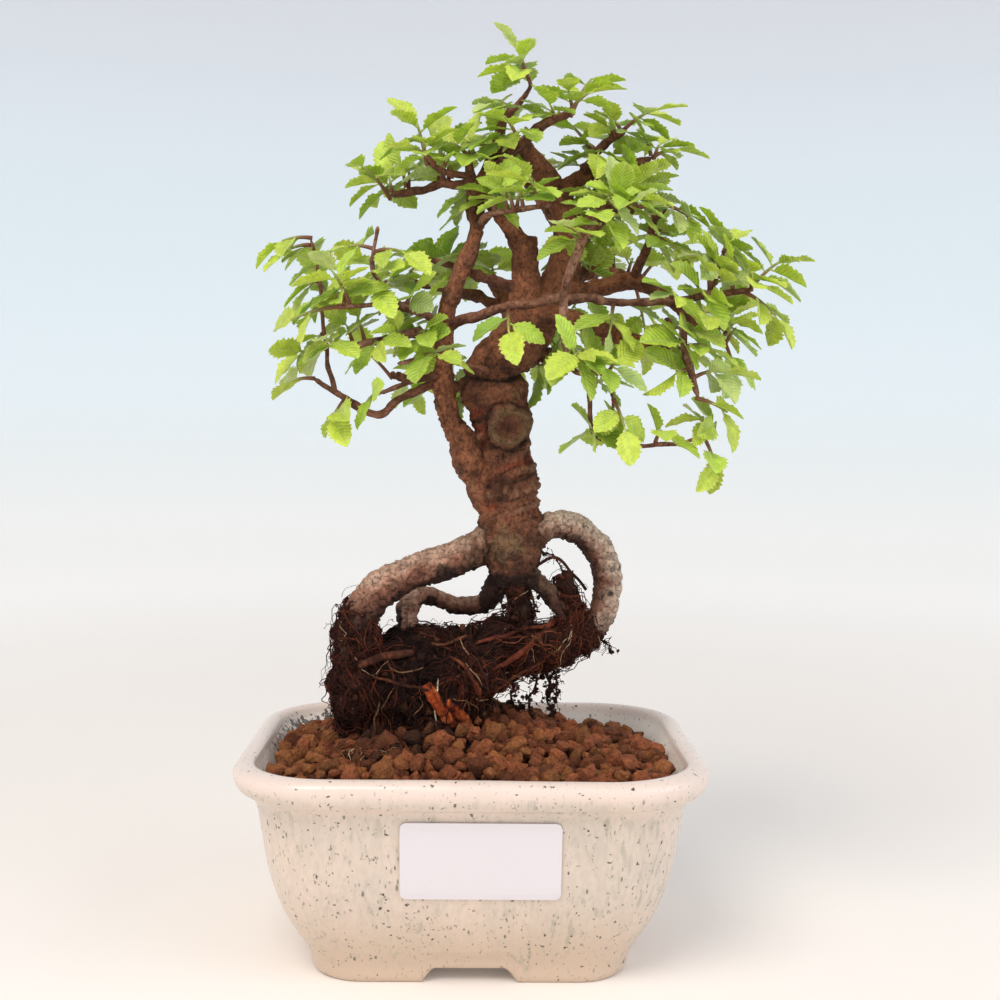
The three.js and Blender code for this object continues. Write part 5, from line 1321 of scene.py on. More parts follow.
def grown_together(shape, cell, rounds):
    """A shape's closed parts joined into one skin of square cells, with its seams rounded: the voxel remesh
    joins them, then each point moves half way to the mean of its neighbours, a few times over."""
    mesh = bpy.data.meshes.new("skin")
    mesh.from_pydata(shape.points.tolist(), [], [face for block in shape.faces for face in block.tolist()])
    piece = bpy.data.objects.new("skin", mesh)
    bpy.context.scene.collection.objects.link(piece)
    remesh = piece.modifiers.new("skin", "REMESH")
    remesh.mode, remesh.voxel_size = "VOXEL", cell
    skin = bpy.data.meshes.new_from_object(piece.evaluated_get(bpy.context.evaluated_depsgraph_get()))
    points = np.empty(len(skin.vertices) * 3, np.float32)
    skin.vertices.foreach_get("co", points)
    points = points.reshape(-1, 3).astype(float)
    edges = np.empty(len(skin.edges) * 2, np.int32)
    skin.edges.foreach_get("vertices", edges)
    one, two = edges.reshape(-1, 2).T
    faces = np.empty(len(skin.loops), np.int32)
    skin.loops.foreach_get("vertex_index", faces)
    faces = faces.reshape(-1, 4)
    bpy.data.objects.remove(piece)
    bpy.data.meshes.remove(mesh)
    bpy.data.meshes.remove(skin)
    count = len(points)
    near = np.bincount(one, minlength=count) + np.bincount(two, minlength=count)
    for _ in range(rounds):
        mean = np.stack([np.bincount(one, points[two, axis], count) + np.bincount(two, points[one, axis], count)
            for axis in range(3)], -1) / near[:, None]
        points = (points + mean) / 2
    return Shape(points, [faces])


def point_normals(shape):
    """The way out at each point of a skin of four-sided cells: the sum of the cross products of the
    diagonals of the cells round it."""
    faces = shape.faces[0]
    corners = shape.points[faces]
    across = np.cross(corners[:, 2] - corners[:, 0], corners[:, 3] - corners[:, 1])
    total = np.stack([np.bincount(faces.ravel(), np.repeat(across[:, axis], 4), len(shape.points))
        for axis in range(3)], -1)
    return unit(total)


def skin_rows(name):
    """The rows that a branch's bark follows."""
    return SKIN_ROWS.get(name, BRANCHES[name])


def distance_to(points, names):
    """How far points lie outside the nearest of some branches: distance to its middle line less its radius."""
    rows = np.concatenate([smooth_rows(skin_rows(name), 1.5) for name in names])
    blocks = []
    for block in np.array_split(points, max(len(points) // 4000, 1)):
        away = np.linalg.norm(block[:, None] - rows[:, :3], axis=2) - rows[:, 3]
        blocks.append(away.min(axis=1))
    return np.concatenate(blocks)


def scar_share(points):
    """How far out on the healed scar a point lies: 0 at its middle, 1 at its edge, and far off behind."""
    (x, y, z), wide, high = SCAR
    share = np.hypot((points[:, 0] - x) / wide, (points[:, 2] - z) / high)
    rough = 0.15 * grain(points, 3.2, 81) + 0.06 * grain(points, 1.3, 82)
    return np.where(points[:, 1] < 0, share + rough, 9)


def leaning(points):
    """Places in a pattern that is stretched seven times round the trunk and rises to the right."""
    return points * [0.14, 0.14, 1] - np.stack([0 * points[:, 0]] * 2 + [0.33 * points[:, 0]], -1)


def trunk_rings(points):
    """The trunk's ridges, from -1 to 1: noise stretched round the trunk and tilted."""
    return grain(leaning(points), 2.6, 63)


def thick_relief(points, rooty, ringed, strength):
    """Height of the bark over the trunk, limbs and thick roots in mm: lumps, ridges round the trunk between
    the roots and the fork, the scar's raised ring and sunk heart, the crease above it, flakes and grit."""
    z = points[:, 2]
    lumps = grain(points, 6.5, 61) * 1.2 + grain(points, 3, 62) * 0.9
    rings = trunk_rings(points) * 1.3 - 0.9 * bell(trunk_rings(points), 0, 0.09)
    rings = rings * step_between(z, 136, 144) * (1 - step_between(z, 172, 184) * 0.6) * (1 - rooty)
    rings = rings * (1 - step_between(z, 196, 206)) * ringed
    plates = np.abs(grain(points, 2.1, 64))
    flakes = 0.9 * step_between(plates, 0.02, 0.22) - 0.5
    grit = grain(points, 1.15, 65) * 0.6
    share = scar_share(points)
    calm = 1 - 0.7 * np.exp(-((share / 0.9) ** 4))
    calm = calm * (1 - 0.55 * step_between(z, 190, 198))
    height = strength * (lumps * (1 - 0.3 * rooty) + rings + flakes + grit) * calm
    height = height - 0.9 * bell(rooty, 0.45, 0.3) * (z > 122)
    raised = 1.9 * (1 - step_between(share, 0.78, 1.15)) + 0.9 * bell(share, 0.74, 0.16)
    raised = raised - 2.0 * bell(share, 0, 0.4) - 0.7 * bell(share, 1.16, 0.1)
    raised = raised + 0.3 * np.sin(share * 26) * bell(share, 0.6, 0.3)
    crease = bell(z - CREASE_HEIGHT - 1.1 * grain(points, 9, 66), 0, 0.9) * (1 - rooty)
    low = bell(z, 184, 2.8) * (1 - rooty)
    inside = np.hypot(points[:, 0] - CREASE_MIDDLE, points[:, 1]) < CREASE_REACH
    return height + raised + np.where(inside, low * 0.6 - crease * 1.7, 0)


def thick_paint(points, outward, rooty, ringed, settings):
    """Colours of the trunk, limbs and roots: browns with red bands and olive patches on the trunk, brown sides on
    the roots, and nearly black wherever old peat sticks. Tops are lighter as painted light, the roots' pale tops are
    painted highlights, and painted shade darkens the crease, the arch's undersides, its strut and where the roots
    meet the trunk; surfaces facing down low on the wood are darkened with the peat's colour."""
    trunk, root = (np.array(colour[:3]) for colour in (settings.trunk, settings.root))
    x, y, z = points.T
    broad, mottle, fine = grain(points, 11, 71), grain(points, 4.5, 72), grain(points, 1.7, 73)
    # Painted light: the bark is lighter where it faces up and to the left, and darker where it faces away
    light = step_between(outward[:, 2] * 0.5 - outward[:, 0] * 0.2 + 0.6 * mottle + 0.5 * fine, -0.8, 0.9)
    bark = blend(trunk * 0.55, trunk * 1.5, light) * (1.65 - 0.6 * ringed)
    # Painted light: above the crease the bark is lightened by up to half again, with streaks, against the crown's
    # shade
    above = step_between(z, 190, 198) * ringed
    bark = bark * (1 + 0.5 * above[:, None] * (1 + 0.5 * grain(points * [1, 1, 0.2], 1.7, 78)[:, None]))
    rings = trunk_rings(points)
    share = scar_share(points)
    low = step_between(z, 140, 146) * (1 - step_between(z, 176, 184)) * ringed * step_between(share, 0.9, 1.2)
    bark = blend(bark, "#8e3d25", step_between(grain(leaning(points), 3, 74), 0.12, 0.42) * 0.65 * low)
    bark = blend(bark, "#a27f66", step_between(rings + 0.3 * fine, 0.3, 0.7) * 0.5 * low)
    bark = blend(bark, "#2a140d", bell(rings + 0.06 * fine, 0, 0.1) * 0.75 * low)
    bark = blend(bark, "#2a1710", step_between(-mottle - 0.4 * fine, 0.4, 0.8) * 0.3)
    crown = bell(z, 133, 8)
    olive = step_between(0.6 * broad + 0.6 * mottle + 0.35 * fine + 0.75 * crown, 0.55, 1.05)
    bark = blend(bark, "#6a6244", olive * 0.5)
    ring = bell(share, 0.74, 0.2) * np.clip(0.75 + 0.35 * fine, 0, 1)
    bark = blend(bark, "#7f6748", ring)
    bark = blend(bark, "#3a1a12", bell(share, 0, 0.42) * 0.85)
    bark = blend(bark, "#1f120c", bell(share, 1.16, 0.1) * 0.7)
    # Painted shade: the groove of the crease round the trunk is painted nearly black
    crease = bell(z - CREASE_HEIGHT - 1.1 * grain(points, 9, 66), 0, 1.0)
    bark = blend(bark, "#1d100b", crease * 0.85 * (np.hypot(x - CREASE_MIDDLE, y) < CREASE_REACH))
    # The bare roots: reddish brown plates with painted highlights on their tops, palest on the right arch, and painted
    # shade below
    strut = (1 - step_between(x, 34, 38)) * (1 - step_between(z, 124, 128)) * (x > 17)
    arch = step_between(x, 21, 27) * (1 - strut)
    plates = step_between(np.abs(grain(points, 2.1, 64)), 0.03, 0.16)
    # Painted light: the roots' brown is lighter where it faces up
    brown = blend("#653c2c", "#bd8268", step_between(outward[:, 2] * 0.8 + 0.5 * mottle, -0.7, 0.7))
    # Painted highlight: the pale root colour is laid on the tops, and on the arch's sides that face right
    top = outward[:, 2] * (0.9 - 0.3 * arch) + 0.6 * outward[:, 0] * arch + 0.4 * mottle + 0.3 * fine
    side = step_between(top, -0.1 - 0.5 * arch, 1 - 0.2 * arch)
    skin = blend(brown, root, side * (0.5 + 0.5 * arch))
    skin = blend(skin, "#6b2f22", step_between(fine + 0.8 * broad, 0.3, 0.9) * 0.5 * (1 - arch))
    skin = blend(skin, "#3c261e", (1 - plates) * (0.42 - 0.22 * arch))
    flecks = step_between(grain(points * [1, 1, 0.6], 1.5, 77) + 0.5 * mottle, 0.45, 0.75)
    skin = blend(skin, "#6b4a3a", flecks * 0.32)
    # Painted shade: the arch's undersides and its sides facing the trunk are darkened
    inner = step_between(-outward[:, 2] * 0.6 - outward[:, 0] * 0.8 * (z < 138) + 0.4 * mottle, 0.15, 0.75) * arch
    skin = blend(skin, "#3d2419", inner * 0.85)
    # Painted shade that tones down the arch's tops a little
    skin = skin * (1 - 0.16 * arch * step_between(outward[:, 2], -0.5, 0.6))[:, None]
    # Painted shade: the strut under the arch is painted dark brown
    skin = blend(skin, "#43251b", strut * 0.88)
    skin = blend(skin, "#6e5b44", step_between(x, -9, 0) * (1 - arch) * (z > 118) * 0.35)
    colours = blend(bark, skin, rooty)
    # Painted shade in the groove where the roots meet the trunk
    crack = bell(rooty, 0.45, 0.25) * (z > 122)
    colours = blend(colours, "#21140e", crack * 0.85)
    # Peat sticks under the trunk, on the lower end of the left root and at the foot of the right one; surfaces facing
    # down below about 130 mm are darkened by the same colour
    soiled = np.maximum(step_between(-z, -127, -121) * (x > 2) * (x < 22), step_between(-z, -121, -105) * (x < -24))
    soiled = np.maximum(soiled, step_between(-z, -112, -100) * (x > 20))
    soiled = np.maximum(soiled, step_between(-z, -108, -98) * (x > -30))
    below = step_between(-outward[:, 2] + 0.5 * mottle + 0.4 * fine, 0.25, 0.9) * step_between(-z, -134, -124)
    soiled = np.maximum(soiled, below * 0.85)
    soiled = np.clip(soiled * 1.15 + 0.45 * (mottle + 0.5 * fine) * (soiled > 0.02), 0, 1)
    return blend(colours, "#28150f", soiled * 0.93)


def barked(skin, trunks, roots, ringed, settings):
    """A skin with its bark: coloured by place, then each point moved out by the bark's height; ringed is 1
    for the trunk's ridges all round and 0 for none."""
    outward = point_normals(skin)
    rooty = np.zeros(len(skin.points))
    if roots:
        apart = distance_to(skin.points, trunks) - distance_to(skin.points, roots)
        rooty = step_between(apart + 1.6 * grain(skin.points, 3.4, 67), -0.6, 1.4)
    skin.paint = thick_paint(skin.points, outward, rooty, ringed, settings)
    height = thick_relief(skin.points, rooty, ringed, settings.relief)
    skin.points = skin.points + outward * height[:, None]
    skin.grown = skin.points * 1.0
    return outward_faces(skin)


def twig_shape(name, rows, settings):
    """One limb or twig: its rows on a smooth curve, swollen a little at its nodes, with a ring about every
    millimetre; its colour runs from the trunk's brown to the twigs' red-brown, lighter on top as painted light, with
    pale painted highlights on the lit parts of twigs at the front."""
    path = smooth_rows(rows, 1.0)
    thick = max(row[3] for row in rows)
    seed = sum(ord(letter) for letter in name)
    wander = sway(path[:, :3], 6, seed) * np.minimum(path[:, 3:], 1.6) * 0.5
    nodes = np.maximum(grain(path[:, :3], 3.2, seed + 3), 0) ** 2 * 0.6 + 0.14 * grain(path[:, :3], 1.6, seed + 4)
    radius = path[:, 3] * 0.9 * (1 + nodes)
    radius[-1] *= 0.55
    middle = path[:, :3] + wander
    sides = int(np.clip(8 + thick * 4, 9, 20))

    def relief(points, outward):
        depth = np.minimum(settings.relief * 0.5, 0.13 * radius)[None, :, None]
        return depth * (grain(points, 2.6, 61) + 0.8 * grain(points, 1.2, 62))

    shape = sweep(middle, radius, sides, relief)
    outward = unit(shape.points - np.concatenate([np.repeat(middle, sides, axis=0), middle[:1], middle[-1:]]))
    trunk, twig = np.array(settings.trunk[:3]), np.array(settings.twig[:3])
    size = np.concatenate([np.repeat(radius, sides), radius[:1], radius[-1:]])
    mottle, fine = grain(shape.points, 4, 75), grain(shape.points, 1.3, 76)
    colours = blend(twig, trunk, step_between(size, 1.3, 3.6))
    # Painted light: lighter where the twig faces up, darker where it faces down
    light = step_between(outward[:, 2] * 0.5 + 0.5 * mottle + 0.5 * fine, -0.8, 0.9)
    colours = blend(colours * 0.5, colours * 1.6, light)
    # Painted highlight: twigs at the front take a pale brown on their lit parts
    front = step_between(-shape.points[:, 1], 8, 22)
    shape.paint = blend(colours, "#b98f77", front * 0.75 * step_between(light, 0.1, 0.9))
    return shape


class BONSAI_OT_wood(bpy.types.Operator):
    """Grows the barked trunk, limbs and thick roots as one skin, the second trunk, and the twigs"""

    bl_idname = "bonsai.wood"
    bl_label = "Wood"

    def execute(self, context):
        settings = context.scene.bonsai_wood
        bark = ground_bark()
        roots = [name for name in BRANCHES if name.startswith("root")]
        thick = [name for name, rows in BRANCHES.items() if name not in roots and max(row[3] for row in rows) >= 3]
        trunks = [name for name in thick if name != "subtrunk"]
        tubes = []
        for name in roots + trunks:
            path = smooth_rows(skin_rows(name), 1.2)
            tubes.append(sweep(path[:, :3], path[:, 3], 24))
        lumps = [ellipsoid(lump[:3], lump[3:] * 3, 8, 0.16, 5, 90) for lump in SKIN_LUMPS]
        skin = barked(grown_together(together(tubes + lumps), settings.cell, 3), trunks, roots, 1, settings)
        path = smooth_rows(skin_rows("subtrunk"), 1.2)
        second = sweep(path[:, :3], path[:, 3], 24)
        second = barked(grown_together(second, settings.cell, 1), ["subtrunk"], [], 0, settings)
        add_piece("trunk_and_roots", together([skin, second]), bark, ("wood",))
        rest = {name: rows for name, rows in BRANCHES.items() if name not in roots + trunks}
        rest["subtrunk"] = [row for row in rest["subtrunk"] if row[2] > 208]
        twigs = [twig_shape(name, rows, settings) for name, rows in rest.items()]
        add_piece("limbs_and_twigs", together(twigs), bark)
        return {"FINISHED"}


# Root mass


def peat_relief(points):
    """Height of the matted peat over its lumps in mm: clumps of 8, 3.5 and 1.6 mm, with the pits deepened."""
    height = grain(points, 8, 121) * 1.9 + grain(points, 3.5, 122) * 1.5 + grain(points, 1.6, 123) * 0.9
    return height - 3.2 * np.maximum(grain(points, 5.5, 124) - 0.2, 0) - 0.4


def on_lumps(points, lift):
    """Points moved out onto the peat: each is scaled about the middle of the lump that it is deepest in, until
    it stands on the outermost, then raised by the peat's relief and a lift. Returned with the way out there."""
    middles = np.array([lump[:3] for lump in PEAT_LUMPS], float)
    halves = np.array([lump[3:] for lump in PEAT_LUMPS], float)
    for _ in range(3):
        depth = np.linalg.norm((points[:, None] - middles) / halves, axis=2)
        index = np.argmin(depth, axis=1)
        middle, half = middles[index], halves[index]
        points = middle + (points - middle) / depth[np.arange(len(points)), index][:, None]
    out = unit((points - middle) / half**2)
    return points + out * (peat_relief(points) + lift)[:, None], out


def front_of_mass(x, z):
    """y of the peat's front at places x and z: the lowest of its lumps' front halves, 0 off the mass."""
    front = np.zeros(len(x))
    for cx, cy, cz, hx, hy, hz in PEAT_LUMPS:
        inside = 1 - ((x - cx) / hx) ** 2 - ((z - cz) / hz) ** 2
        front = np.minimum(front, np.where(inside > 0, cy - hy * np.sqrt(np.maximum(inside, 0)), 0))
    return front


def laid_on_front(rows, spacing):
    """Points along a run of [x, z, radius, lift] laid on the mass's front, y evened out three times; with radii."""
    table = np.array([(x, 0, z, radius, lift) for x, z, radius, lift in rows], float)
    path = smooth_rows(table, spacing)
    y = front_of_mass(path[:, 0], path[:, 2])
    for _ in range(3):
        y = np.convolve(np.pad(y, 2, "edge"), np.ones(5) / 5, "valid")
    placed = np.stack([path[:, 0], y, path[:, 2]], -1)
    placed[:, 1] -= np.maximum(peat_relief(placed), 0) * 0.8 + path[:, 4]
    return placed, path[:, 3]


def thread_paths(count, steps, pace, seed, droop, loose, rise):
    """Fine roots as random walks over the peat: each step turns a little, leans down, is put back on the
    surface and is no longer than one and a half paces; a loose share lifts off or stands off at its end."""
    random = np.random.default_rng(seed)
    middles = np.array([lump[:3] for lump in PEAT_LUMPS], float)
    halves = np.array([lump[3:] for lump in PEAT_LUMPS], float)
    weight = halves[:, 0] * halves[:, 2]
    which = random.choice(len(PEAT_LUMPS), count, p=weight / weight.sum())
    points = middles[which] + unit(random.normal(size=(count, 3)) * [1, 1.2, 0.8]) * halves[which]
    _, out = on_lumps(points, np.zeros(count))
    heading = unit(np.cross(out, random.normal(size=(count, 3))))
    free = random.random(count) < loose
    height = np.where(free, 1.2 + 3.2 * random.random(count) ** 2, rise * (0.3 + random.random(count)))
    ended = free & (random.random(count) < 0.45)
    rows = []
    for step in range(steps):
        share = (step + 0.3) / steps
        lift = height * np.where(ended, share**1.5, np.sin(np.pi * (0.15 + 0.7 * share)))
        placed, out = on_lumps(points, lift)
        if rows:
            move = placed - rows[-1]
            far = np.linalg.norm(move, axis=1, keepdims=True)
            placed = rows[-1] + move * np.minimum(1, 1.5 * pace / np.maximum(far, 1e-6))
        rows.append(placed)
        heading = heading + 0.38 * random.normal(size=(count, 3)) + [0, 0, -droop]
        heading = unit(heading - out * np.sum(heading * out, axis=1, keepdims=True))
        points = placed - out * (lift + peat_relief(placed))[:, None] + heading * pace
    return np.stack(rows, axis=1)


def thread_shapes(paths, radius, sides, shares, seed):
    """Tubes along the threads, thinning to their ends, each of one tone from nearly black to pale tan."""
    random = np.random.default_rng(seed)
    count, steps = paths.shape[:2]
    palette = np.array([shade(code) for code in THREAD_COLOURS])
    tubes = sweep(paths, radius[:, None] * (1 - 0.65 * np.linspace(0, 1, steps) ** 2), sides)
    tone = palette[random.choice(len(palette), count, p=np.array(shares) / sum(shares))]
    tubes.paint = np.concatenate([np.repeat(tone, steps * sides, axis=0), tone, tone])
    tubes.paint = tubes.paint * (1 + 0.4 * grain(tubes.points, 3, seed))[:, None]
    return tubes


def crumbs(places, sizes, cuts, colours, seed):
    """Small lumps at many places: one cube ball, scaled, dented by lattice noise and stretched by chance."""
    random = np.random.default_rng(seed)
    ball, faces = cube_ball(cuts)
    count = len(places)
    stretch = 0.6 + 0.8 * random.random((count, 1, 3))
    dent = 1 + 0.45 * grain(ball[None] * 1.7 + random.random((count, 1, 3)) * 30, 1.3, seed)
    points = places[:, None] + ball[None] * dent[..., None] * stretch * sizes[:, None, None]
    return Shape(points, [copies(faces, count, len(ball))], paint=np.repeat(colours, len(ball), axis=0))


def strand(rows, seed):
    """A hanging strand of fine roots: a wandering thread with side threads and crumbs of peat along it."""
    random = np.random.default_rng(seed)
    path = smooth_rows(rows, 0.8)
    thin = min(rows[0][3] / 0.8, 1)
    path[:, :3] += (0.2 + 0.5 * thin) * sway(path[:, :3], 2.5, seed)
    shapes = [sweep(path[:, :3], path[:, 3] * (1 - 0.5 * thin), 5)]
    shapes[0].paint = np.tile(shade("#331c13"), (len(shapes[0].points), 1))
    count = int(len(path) * (0.4 + 2.1 * thin))
    starts = path[random.integers(0, len(path), count), :3]
    ways = unit(random.normal(size=(count, 3)) * [1, 0.7, 1])
    steps = np.linspace(0, 1, 5)
    reach = (1.2 + 3 * random.random(count))[:, None, None]
    sides = starts[:, None] + ways[:, None] * steps[:, None] * reach
    sides = sides + 0.5 * random.normal(size=(count, 5, 3)) * steps[:, None] - [0, 0, 0.9] * steps[:, None] ** 2
    threads = sweep(sides, np.full((count, 5), 0.11), 3)
    threads.paint = np.tile(shade("#3c2116"), (len(threads.points), 1))
    places = np.concatenate([path[:, :3] + 0.6 * thin * random.normal(size=(len(path), 3)), sides[:, 3]])
    sizes = (0.2 + 0.7 * random.random(len(places)) ** 2) * (0.35 + 0.65 * thin)
    tone = blend("#1e110c", "#4a2a1b", random.random(len(places)))
    return shapes + [threads, crumbs(places, sizes, 2, tone, seed)]


def bark_strip(rows, seed):
    """A torn strip of orange inner bark: a flattened rough tube along the mass's front, with dark edges and a
    dark split along it."""
    path, half = laid_on_front(rows, 0.5)
    path = path + 0.12 * sway(path, 3, seed)
    half = half * (1 + 0.1 * grain(path, 2, seed + 4))
    strip = sweep(path, half, 22,
        lambda points, outward: 0.2 * grain(points, 1.8, seed) + 0.12 * grain(points, 0.8, seed + 1))
    ring = np.cos(np.arange(22) * 2 * np.pi / 22 + 0.6)
    around = np.concatenate([np.tile(ring, len(path)), [0, 0]])
    middle = np.concatenate([np.repeat(path, 22, axis=0), path[:1], path[-1:]])
    strip.points = middle + (strip.points - middle) * [1, 0.6, 1]
    mottle = grain(strip.points * [1, 1, 0.5], 1.5, seed + 2) + 0.5 * grain(strip.points, 0.7, seed + 3)
    front = step_between(middle[:, 1] - strip.points[:, 1], -0.2, 0.9)
    strip.paint = blend("#4a1b0e", "#b04a20", step_between(mottle, -0.9, 0.1) * front)
    strip.paint = blend(strip.paint, "#d67c3e", step_between(mottle, 0.1, 0.8) * front * 0.8)
    strip.paint = blend(strip.paint, "#3a150c", bell(around + 0.2 * mottle, 0, 0.2) * 0.5)
    return strip


def rootlet(code, rows, seed):
    """One rootlet on the front of the mass: a wandering tube of one colour, mottled along its length."""
    path, radius = laid_on_front(rows, 0.7)
    path = path + 0.45 * sway(path, 3.5, seed)
    radius = radius * (1 + 0.25 * grain(path, 2, seed + 3))
    radius[[0, -1]] *= 0.5
    tube = sweep(path, radius, 9)
    light = grain(tube.points, 3, seed + 4) + 0.6 * grain(tube.points, 0.9, seed + 5)
    tube.paint = blend(shade(code) * 0.45, shade(code) * 1.35, step_between(light, -0.7, 0.8))
    return tube


class BONSAI_OT_root_mass(bpy.types.Operator):
    """Knits the mass of fine roots and peat, with its threads, crumbs, strands and strips of bare bark"""

    bl_idname = "bonsai.root_mass"
    bl_label = "Root mass"

    def execute(self, context):
        settings = context.scene.bonsai_roots
        peat = np.array(settings.peat[:3])
        fibre = root_fibre()
        lumps = [ellipsoid(lump[:3], lump[3:], 16, 0, 5, 110) for lump in PEAT_LUMPS]
        core = grown_together(together(lumps), 0.75, 2)
        outward = point_normals(core)
        height = peat_relief(core.points)
        # Painted shade and light: the peat is painted darkest in its pits and lightest on its clumps, by the relief's
        # height
        tone = step_between(height + 1.2 * grain(core.points, 1.3, 125), -3.2, 2.6)
        core.paint = blend(peat * 0.25, peat * 1.6, tone)
        red = step_between(grain(core.points, 4, 126), 0.2, 0.7) * 0.28 * tone
        core.paint = blend(core.paint, "#63301c", red)
        core.points = core.points + outward * height[:, None]
        core.grown = core.points * 1.0
        add_piece("root_core", outward_faces(core), fibre, ("root_mass",))

        random = np.random.default_rng(131)
        for name, rows in (("root_mat", MAT_THREADS), ("root_threads", LONG_THREADS)):
            threads = []
            for seed, share, steps, pace, sides, thick, loose, rise, tones in rows:
                count = int(settings.threads * share)
                radius = settings.thread_radius * thick * (0.55 + 0.8 * random.random(count))
                paths = thread_paths(count, steps, pace, seed, 0.16, loose, rise)
                threads.append(thread_shapes(paths, radius, sides, tones, seed))
            add_piece(name, together(threads), fibre)

        rootlets = [rootlet(code, rows, 150 + 7 * index) for index, (code, rows) in enumerate(FRONT_ROOTLETS)]
        rootlets += [bark_strip(rows, 171 + 4 * index) for index, rows in enumerate(BARE_STRIPS)]
        for rows in BACK_ROOTS:
            path = smooth_rows(rows, 0.8)
            path[:, :3] += 0.5 * sway(path[:, :3], 4, 150)
            back = sweep(path[:, :3], path[:, 3] * 0.6, 10)
            light = grain(back.points, 3.5, 154) + 0.5 * grain(back.points, 1, 155)
            back.paint = blend("#2a150e", "#6b3a28", step_between(light, -0.7, 0.8))
            rootlets.append(back)
        for index, rows in enumerate(STRANDS):
            rootlets += strand(rows, 180 + 5 * index)
        add_piece("rootlets_and_strips", together(rootlets), fibre)

        count = settings.crumbs
        places = thread_paths(count, 1, 1, 161, 0, 0, 0.3)[:, 0]
        sizes = 0.3 + 0.9 * random.random(count) ** 2.5
        tone = blend(peat * 0.7, "#5c3420", random.random(count) ** 1.5)
        pale = random.random(count) < 0.035
        tone = blend(tone, "#cfc5b8", pale * 0.8)
        sizes = np.where(pale, sizes * 0.2 + 0.16, sizes)
        add_piece("peat_crumbs", crumbs(places, sizes, 2, tone, 162), fibre, smooth=False)
        return {"FINISHED"}


# Leaves


# Half width of the blade at a share of its length, and how deep the teeth cut it
BLADE = [(0, 0.03), (0.04, 0.1), (0.11, 0.19), (0.2, 0.265), (0.31, 0.315), (0.43, 0.335), (0.55, 0.332),
    (0.67, 0.305), (0.78, 0.255), (0.87, 0.19), (0.94, 0.12), (1, 0.02)]
TEETH = 7


def blade_outline():
    """Stations along a blade: notches and tooth tips by turns. The half width comes from the table, less a
    seventh at a notch, and a tooth tip leans forward by a third of its step."""
    count = 2 * TEETH + 1
    place = np.linspace(0, 1, count)
    along = place + np.where(np.arange(count) % 2 == 1, 0.30 / (2 * TEETH), 0)
    half = np.interp(along, *np.array(BLADE).T)
    half = half * np.where(np.arange(count) % 2 == 1, 1.06, 0.85)
    return along, half


def leaf_shapes(leaves, thickness, colours):
    """Blades and stalks of many leaves. A blade is a ring of six points at each station: edge, half way, rib,
    half way, edge, and the rib's underside. A point stands at place + axis * along + side * across +
    normal * (fold * |across| - curl * along^2), with cupped halves and a wavy edge."""
    along, half = blade_outline()
    columns = np.array([-1, -0.5, 0, 0.5, 1, 0])
    count, rows = len(leaves), len(along)
    place = np.array([leaf["place"] for leaf in leaves])
    axis = np.array([leaf["axis"] for leaf in leaves])
    normal = np.array([leaf["normal"] for leaf in leaves])
    length, fold, curl = (np.array([leaf[key] for leaf in leaves]) for key in ("length", "fold", "curl"))
    side = np.cross(normal, axis)
    random = np.random.default_rng(201)
    phase = random.random(count) * 2 * np.pi
    bend = (random.random(count) - 0.5) * 0.16
    wide = 0.92 + 0.22 * random.random(count)
    reach = (along + PETIOLE_LENGTH) * np.ones((count, 1))
    across = half[:, None] * columns * wide[:, None, None]
    height = fold[:, None, None] * np.abs(across) - (curl[:, None] * reach**2)[..., None]
    height = height + 0.06 * half[:, None] * (np.abs(columns) == 0.5)
    height = height + 0.028 * np.sin(reach * 13 + phase[:, None])[..., None] * np.abs(columns) * (half[:, None] / 0.3)
    across = across + (bend[:, None] * reach**2)[..., None]
    points = (place[:, None, None] + (reach * length[:, None])[..., None, None] * axis[:, None, None]
        + (across * length[:, None, None])[..., None] * side[:, None, None]
        + (height * length[:, None, None])[..., None] * normal[:, None, None])
    points[:, :, 5] -= thickness * normal[:, None]
    size = rows * 6
    walls = copies(cells(rows, 6), count, size)
    ends = copies([np.arange(5, -1, -1), np.arange(size - 6, size)], count, size)
    grown = np.empty(points.shape)
    grown[..., 0] = along[:, None]
    grown[..., 1] = half[:, None] * columns / 0.31
    grown[..., 2] = (random.random(count) * 50)[:, None, None]
    blades = outward_faces(Shape(points, [walls, ends], paint=np.repeat(colours, size, axis=0), grown=grown))
    # Stalks run from the stem to just inside the blade
    steps = np.array([-0.02, 0.07, 0.15, 0.26])
    path = (place[:, None] + axis[:, None] * (steps * length[:, None])[..., None]
        - normal[:, None] * ((0.25 * thickness + curl[:, None] * length[:, None] * steps**2))[..., None])
    thin = 0.34 * np.array([1.1, 1, 0.9, 0.45]) * np.ones((count, 1)) * (length[:, None] / 12)
    stalks = sweep(path, thin, 5)
    stalk_colour = blend(colours, "#b9c46a", np.full(count, 0.5))
    stalks.paint = np.concatenate([np.repeat(stalk_colour, 20, axis=0), stalk_colour, stalk_colour])
    stalks.grown = stalks.grown * 0 + [0.5, 0.5, 0]
    return blades, stalks


def leaf_colours(leaves, settings, seed):
    """A colour for each leaf: young at the shoot's tip and on the outside, old within, and a tone of its own."""
    young, grown, old = (np.array(colour[:3]) for colour in (settings.young, settings.grown_leaf, settings.old))
    random = np.random.default_rng(seed)
    place = np.array([leaf["place"] for leaf in leaves])
    share = np.array([leaf["share"] for leaf in leaves])
    out = np.linalg.norm((place - CROWN_CENTRE) / [62, 42, 62], axis=1)
    youth = 0.45 * share + 0.55 * out + 0.35 * (random.random(len(leaves)) - 0.5)
    colours = blend(old, grown, step_between(youth, 0.15, 0.65))
    colours = blend(colours, young, step_between(youth, 0.62, 1.15))
    # About one leaf in eight is paled towards a whitish green: a painted sheen
    colours = blend(colours, "#c6d39a", (random.random(len(leaves)) < 0.12) * 0.55)
    return colours * (0.84 + 0.3 * random.random((len(leaves), 1)))


def within(point, windows):
    """Whether a point lies in one of the windows: x and z between bounds and y less than a limit."""
    x, y, z = point
    return any(left < x < right and low < z < high and y < back for left, right, low, high, back in windows)


